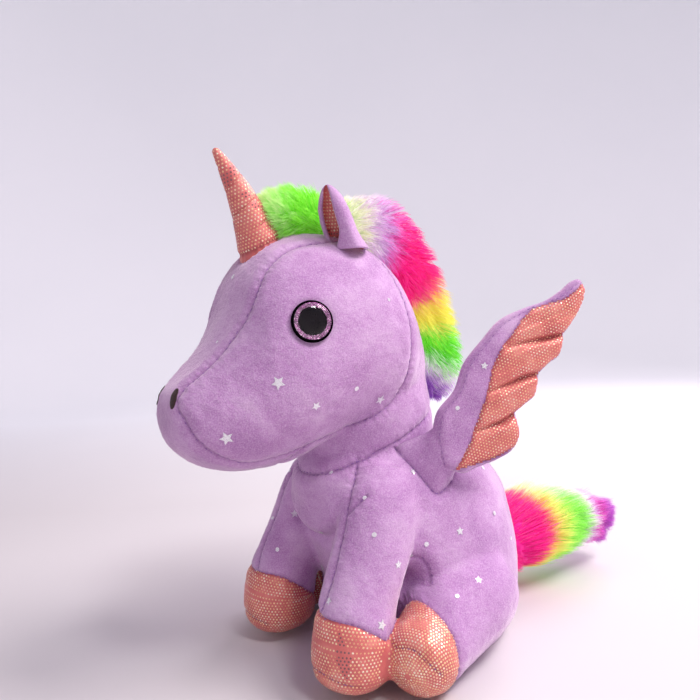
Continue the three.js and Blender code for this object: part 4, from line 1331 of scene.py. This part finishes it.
def undercoat(name, stops, scale, tint, seed):
    rows, _, n = pile_path(stops)
    rings = [oval(row[:3], X, v, row[3] * scale, row[4] * scale, 48) for row, v in zip(rows, n)]
    points, faces = tube(rings)
    out = unit(points - np.repeat(rows[:, :3], 48, 0))
    points = points + out * (1.1 * ripple(points, 7, seed) + 0.5 * ripple(points, 2.6, seed + 1))[:, None]
    obj = new_object(name, points, faces, FUR)
    # Painted shade: the undercoat under the hairs is darkened to 0.8 of their tint.
    point_colour(obj, "tint", tint(points, 0.7 * ripple(points, 3, seed + 2)) * 0.8)
    return obj


HAIR_CORNERS, HAIR_FLOOR = (0, 2.0944, 4.18879), 0.3  # angles round a hair; lowest place, mm


def strands(name, roots, way, bend, length, width, tint, clumps=260, gather=0.45, steps=5):
    """Tapered hairs as thin closed three-sided bodies, gathered a little into tufts."""
    n = len(roots)
    centres = rng.choice(n, clumps, replace=False)
    tree = KDTree(clumps)
    for i, c in enumerate(centres):
        tree.insert(roots[c], i)
    tree.balance()
    clump = centres[np.array([tree.find(p)[1] for p in roots])]
    t = np.linspace(0, 1, steps)[None, :, None]
    path = roots[:, None] + length[:, None, None] * (
        way[:, None] * (t - 0.5 * t * t) + bend[:, None] * 0.5 * t * t + way[:, None] * 0.25 * t)
    lean = path[clump] + (roots - roots[clump])[:, None] * 0.25
    path = path * (1 - gather * t**1.6) + lean * gather * t**1.6
    along = unit(np.gradient(path, axis=1))
    u = unit(np.cross(along, rng.normal(size=(n, 1, 3))))
    v = np.cross(along, u)
    radius = width[:, None, None] * (1.02 - t) ** 0.65 * (0.75 + 0.5 * t * (1 - t) * 2)
    rings = np.stack([path + (u * cos(a) + v * sin(a)) * radius for a in HAIR_CORNERS], 2)
    points = rings.reshape(-1, 3)
    points[:, 2] = np.maximum(points[:, 2], HAIR_FLOOR)
    start = (np.arange(n) * steps * 3)[:, None]
    faces = []
    for k in range(steps - 1):
        for q in range(3):
            w = (q + 1) % 3
            faces.append(start + [k * 3 + q, k * 3 + w, k * 3 + 3 + w, k * 3 + 3 + q])
    quads = np.concatenate(faces)
    tips = np.concatenate([start + [2, 1, 0], start + [steps * 3 - 3, steps * 3 - 2, steps * 3 - 1]])
    obj = new_object(name, points, quads.tolist() + tips.tolist(), FUR)
    jitter = np.repeat(rng.normal(size=n) * 0.75 + (ripple(roots, 5, 77) * 1.2), steps * 3)
    shade = tint(points, jitter)
    # Painted shade: each hair is darker towards its root, where shade falls in the pile, and a little lighter
    # at its tip; a random tone per hair on top.
    root_shade_and_tone = np.tile(np.repeat(np.linspace(0.8, 1.1, steps), 3), n)
    root_shade_and_tone *= np.repeat(rng.uniform(0.82, 1.12, n), steps * 3)
    point_colour(obj, "tint", np.clip(shade * root_shade_and_tone[:, None], 0, 1))
    return obj


def pile_roots(stops, count, scale, low=0.0, high=1.0, angles=(0, 2 * pi)):
    rows, along, n = pile_path(stops)
    place = rng.uniform(low, high, count) * (len(rows) - 1)
    i = np.clip(place.astype(int), 0, len(rows) - 2)
    f = (place - i)[:, None]
    row = rows[i] * (1 - f) + rows[i + 1] * f
    d, v = unit(along[i] * (1 - f) + along[i + 1] * f), unit(n[i] * (1 - f) + n[i + 1] * f)
    angle = rng.uniform(*angles, count)
    c, s = np.cos(angle)[:, None], np.sin(angle)[:, None]
    roots = row[:, :3] + (c * X * row[:, 3:4] + s * v * row[:, 4:5]) * scale
    out = unit(c * X / row[:, 3:4] + s * v / row[:, 4:5])
    size = abs(out @ X) * row[:, 3] + abs((out * v).sum(1)) * row[:, 4]
    return roots, d, out, size


HAIRS = 1.0  # share of the hairs that are made


def mane_fur():
    count = int(16500 * HAIRS)
    roots, d, out, size = pile_roots(MANE, count, 0.68)
    noise_way = rng.normal(size=roots.shape) * 0.16
    way = unit(out + 0.25 * d + noise_way)
    bend = unit(out * 0.55 + 0.9 * d + noise_way - Z * 0.25)
    length = size * 0.33 * rng.uniform(0.8, 1.25, len(roots)) + 1.0
    width = rng.uniform(0.16, 0.27, len(roots))
    return strands("mane_fur", roots, way, bend, length, width, mane_tint, 420)


def forelock_fur():
    count = int(6400 * HAIRS)
    roots, d, out, size = pile_roots(FORELOCK, count, 0.6)
    noise_way = rng.normal(size=roots.shape) * 0.14
    way = unit(out + 0.7 * d + noise_way)
    bend = unit(out * 0.35 + 1.0 * d + noise_way)
    length = size * 0.5 * rng.uniform(0.75, 1.15, len(roots)) + 1.8
    width = rng.uniform(0.15, 0.25, len(roots))
    return strands("forelock_fur", roots, way, bend, length, width, forelock_tint, 190)


def tail_fur():
    """The tail's hairs lie back along it and end in two soft tips, one above the other."""
    count = int(14500 * HAIRS)
    roots, d, out, size = pile_roots(TAIL, count, 0.72)
    noise_way = rng.normal(size=roots.shape) * 0.12
    tips = np.where(out[:, 2:] > -0.25, [[0, 197.0, 38.0]], [[0, 187.0, 18.0]]) + roots * [0.75, 0, 0]
    share = 0.6 * smooth_step(roots[:, 1:2], 150, 178) * (1 - smooth_step(roots[:, 1:2], 184, 190))
    way = unit((out * 0.5 + d) * (1 - share) + unit(tips - roots) * share + noise_way)
    bend = unit((out * 0.1 + 1.2 * d) * (1 - share) + unit(tips - roots) * share + noise_way)
    length = rng.uniform(11, 18, len(roots)) * (0.5 + 0.5 * size / 24)
    width = rng.uniform(0.18, 0.3, len(roots))
    return strands("tail_fur", roots, way, bend, length, width, tail_tint, 330, 0.5)


for name, stops, scale, tint, body_name, nodes, make in (
        ("mane", MANE, 0.76, mane_tint, "head", ("mane_pile", "mane_backing"), mane_fur),
        ("forelock", FORELOCK, 0.68, forelock_tint, "head", ("forelock",), forelock_fur),
        ("tail", TAIL, 0.74, tail_tint, "tail", ("tail_pile", "tail_core"), tail_fur)):
    coat = undercoat(name + "_undercoat", stops, scale, tint, 40)
    pile = make()
    settle(coat, body_name, "rainbow_fur")
    settle(pile, body_name, "rainbow_fur", *nodes)

# ---- silver stars and spots printed on the minky ---------------------------------------------------

STARS = [  # x, y, z, radius; a star from 1.5 mm up, a spot below
    (42, -64, 152, 3.3), (44, -47, 140, 2.4), (30, -85, 129, 3.4), (45, -26, 146, 1.2), (40, -9, 138, 2.9),
    (-1, -59, 199, 2.0), (32, -11, 208, 1.1), (47, -6, 186, 0.8), (10, -79, 171, 0.8),
    (35, 10, 109, 1.1), (40, 8, 99, 2.0), (44, 15, 97, 1.7), (18, -26, 101, 1.1), (40, -21, 92, 1.1),
    (-22, -28, 72, 2.4), (8, -28, 70, 1.2), (48, -22, 76, 1.2), (51, 27, 68, 2.4), (48, 8, 65, 1.2),
    (45, 1, 60, 1.0), (53, -13, 61, 2.2), (62, 28, 45, 1.9), (64, 13, 42, 1.1), (40, -43, 47, 2.2),
    (57, -27, 37, 2.8), (-26, -38, 53, 1.2), (48, 54, 71, 1.2)]


MARK_LIFT, MARK_GAP, STAR_LEAST, MARK_LOW = 0.34, 17, 1.5, 14
MARK_SIZES = [0.9, 1.1, 1.2, 1.9, 2.3, 2.8]
STAR_SPIKES, STAR_WAIST, SPOT_CORNERS = 10, 0.46, 12


def foil_mark(tree, centre, radius, turn):
    """A star or spot that follows the skin, as points and faces."""
    at, up_way = snap(tree, [centre])
    n = up_way[0]
    u = unit(np.cross(n, Z if abs(n[2]) < 0.9 else X))
    v = np.cross(n, u)
    spikes = STAR_SPIKES if radius >= STAR_LEAST else SPOT_CORNERS
    rim = []
    for q in range(spikes):
        r = radius * (STAR_WAIST if spikes == STAR_SPIKES and q % 2 else 1.0)
        angle = turn + q / spikes * 2 * pi
        rim.append(u * cos(angle) * r + v * sin(angle) * r)
    rim = np.array(rim)
    flat_points = np.vstack([[0 * n], rim * 0.5, rim])
    points = snap(tree, at[0] + flat_points)[0] + n * MARK_LIFT
    faces = []
    for q in range(spikes):
        w = (q + 1) % spikes
        faces.append([0, 1 + q, 1 + w])
        faces.append([1 + q, 1 + spikes + q, 1 + spikes + w])
        faces.append([1 + q, 1 + spikes + w, 1 + w])
    return points, faces


def scatter_marks(name, tree, rows, body_name):
    points, faces, start = [], [], 0
    for x, y, z, radius in rows:
        p, f = foil_mark(tree, (x, y, z), radius, rng.uniform(0, 6.3))
        points.append(p)
        faces += [[i + start for i in face] for face in f]
        start += len(p)
    points = np.vstack(points)
    obj = new_object(name, points, faces, FOIL)
    point_colour(obj, "tint", np.tile(colour(236, 234, 244)[:3], (len(points), 1)))
    settle(obj, body_name, "lavender_minky")


def random_marks(label, count, keep_out):
    """Stars and spots for the parts of the skin that the list above leaves bare."""
    chosen = np.unique(skin_faces[labels == label])
    rows = []
    taken = list(keep_out)
    for i in rng.permutation(chosen):
        p = skin[i]
        seen = p[0] * 0.85 - p[1] * 0.52 > 8
        under_tail = p[1] > 70 and abs(p[0]) < 34 and p[2] < 74
        if seen or under_tail or painted_seam_shade[i] > 0.05 or p[2] < MARK_LOW:
            continue
        if label == "head" and (p[1] > -5 and abs(p[0]) < 22 or np.linalg.norm(p - HORN_BASE) < 18
                                or np.linalg.norm(p - EYE_CENTRE * [-1, 1, 1]) < 16):
            continue
        if all(np.linalg.norm(p - t) > MARK_GAP for t in taken):
            taken.append(p)
            rows.append((*p, rng.choice(MARK_SIZES)))
        if len(rows) == count:
            break
    return rows


listed = [np.array(row[:3]) for row in STARS]
head_rows = [row for row in STARS if row[2] > 112] + random_marks("head", 16, listed)
body_rows = [row for row in STARS if row[2] <= 112] + random_marks("body", 34, listed)
scatter_marks("head_foil_marks", skin_tree, head_rows, "head")
scatter_marks("body_foil_marks", skin_tree, body_rows, "torso")
WING_MARKS = [  # a, h, height off the wing's middle, radius
    (18.7, 61, 6, 2.1), (4, 41, 6, 1.1), (8, 50, -6, 2.3), (24, 70, -6, 1.2), (45, 80, -6, 2.7),
    (38, 60, -6, 1.2), (27, 38, -6, 2.3), (14, 22, -6, 1.2), (60, 86, -6, 1.2)]
for side, s in SIDES.items():
    marks = np.array(WING_MARKS)
    rows = np.column_stack([wing_place(s, marks[:, :2], marks[:, 2]), marks[:, 3]])
    scatter_marks("wing_foil_marks_" + side, sail_trees[side], rows, "wing_" + side)

# ---- floor, light and camera --------------------------------------------------------------

FLOOR_ROWS, FLOOR_SIDES, FLAT_SHARE = 24, 96, 0.4
FLAT_RADIUS, BEND_RADIUS, WALL_HEIGHT = 1.25, 0.65, 1.6


def studio():
    """A round sheet of paper, flat in the middle and bent up to a wall all round."""
    rings = []
    for k in range(FLOOR_ROWS + 1):
        t = k / FLOOR_ROWS
        bend = max(t - FLAT_SHARE, 0) / (1 - FLAT_SHARE) * pi / 2
        radius = FLAT_RADIUS * min(t / FLAT_SHARE, 1) + BEND_RADIUS * sin(bend)
        height = WALL_HEIGHT * (1 - cos(bend))
        rings.append(oval((0, 0, height), X, Y, radius, radius, FLOOR_SIDES))
    points, faces = tube(rings)
    faces = [f for f in faces if len(f) == 4]
    paint = Paint("studio_paper", Roughness=0.9, Emission_Strength=1.0)
    paint.set(Base_Color=paint.mix(paint.noise(3, 2), colour(210, 204, 208), colour(216, 210, 213)))
    # Painted light: the paper glows, the more the farther it lies behind the model, to brighten the backdrop.
    away = paint.node("ShaderNodeVectorMath", {0: paint.attribute("rest"), 1: -back}, operation="DOT_PRODUCT")
    paint.set(Emission_Color=paint.ramp(away.outputs["Value"], [
        (0.3, (0, 0, 0, 1)), (0.95, (0.27, 0.28, 0.33, 1))]))
    floor = new_object("studio_floor", points * 1000 + [0, SEAT_Y, 0], faces, paint.material)


AZIMUTH, ELEVATION, ROLL = radians(58.26), radians(3.23), radians(-3.18)
DISTANCE, TARGET = 0.3773, np.array([0, -SEAT_Y / 1000, 0.16075])
level = np.array([cos(AZIMUTH), sin(AZIMUTH), 0])
back = np.array([sin(AZIMUTH) * cos(ELEVATION),
                 -cos(AZIMUTH) * cos(ELEVATION), sin(ELEVATION)])
raised = np.cross(back, level)
right = level * cos(ROLL) + raised * sin(ROLL)
up = raised * cos(ROLL) - level * sin(ROLL)


def camera():
    data = bpy.data.cameras.new("camera")
    data.lens, data.sensor_width = 36, 36
    data.clip_start, data.clip_end = 0.01, 20
    obj = bpy.data.objects.new("camera", data)
    m = Matrix.Identity(4)
    for k in range(3):
        m[k][0], m[k][1], m[k][2] = right[k], up[k], back[k]
        m[k][3] = TARGET[k] + back[k] * DISTANCE
    obj.matrix_world = m
    bpy.context.scene.collection.objects.link(obj)
    bpy.context.scene.camera = obj


def area_light(name, across, rise, toward, size, power, shade):
    """A soft light placed by how far it is to the camera's right, up and towards it."""
    data = bpy.data.lights.new(name, "AREA")
    data.shape, data.size, data.energy = "DISK", size, power
    data.color = shade[:3]
    obj = bpy.data.objects.new(name, data)
    place = Vector(TARGET + level * across + Z * rise + back * toward)
    obj.location = place
    obj.rotation_mode = "QUATERNION"
    obj.rotation_quaternion = (Vector(TARGET) - place).to_track_quat("-Z", "Y")
    bpy.context.scene.collection.objects.link(obj)


studio()
camera()
area_light("key_light", 0.8, 0.95, 0.2, 0.6, 15, colour(255, 248, 246))
area_light("fill_light", -0.9, 0.45, 0.5, 1.0, 0.8, colour(244, 240, 255))
area_light("rim_light", 0.65, 0.6, -0.7, 0.8, 8, colour(255, 246, 255))
area_light("spark_light", 0.5, 1.0, 0.7, 0.26, 5, colour(255, 255, 255))
world = bpy.data.worlds.new("studio_air")
world.use_nodes = True
world.node_tree.nodes["Background"].inputs["Color"].default_value = colour(240, 240, 252)
world.node_tree.nodes["Background"].inputs["Strength"].default_value = 0.25
bpy.context.scene.world = world
bpy.context.scene.view_settings.view_transform = "Standard"
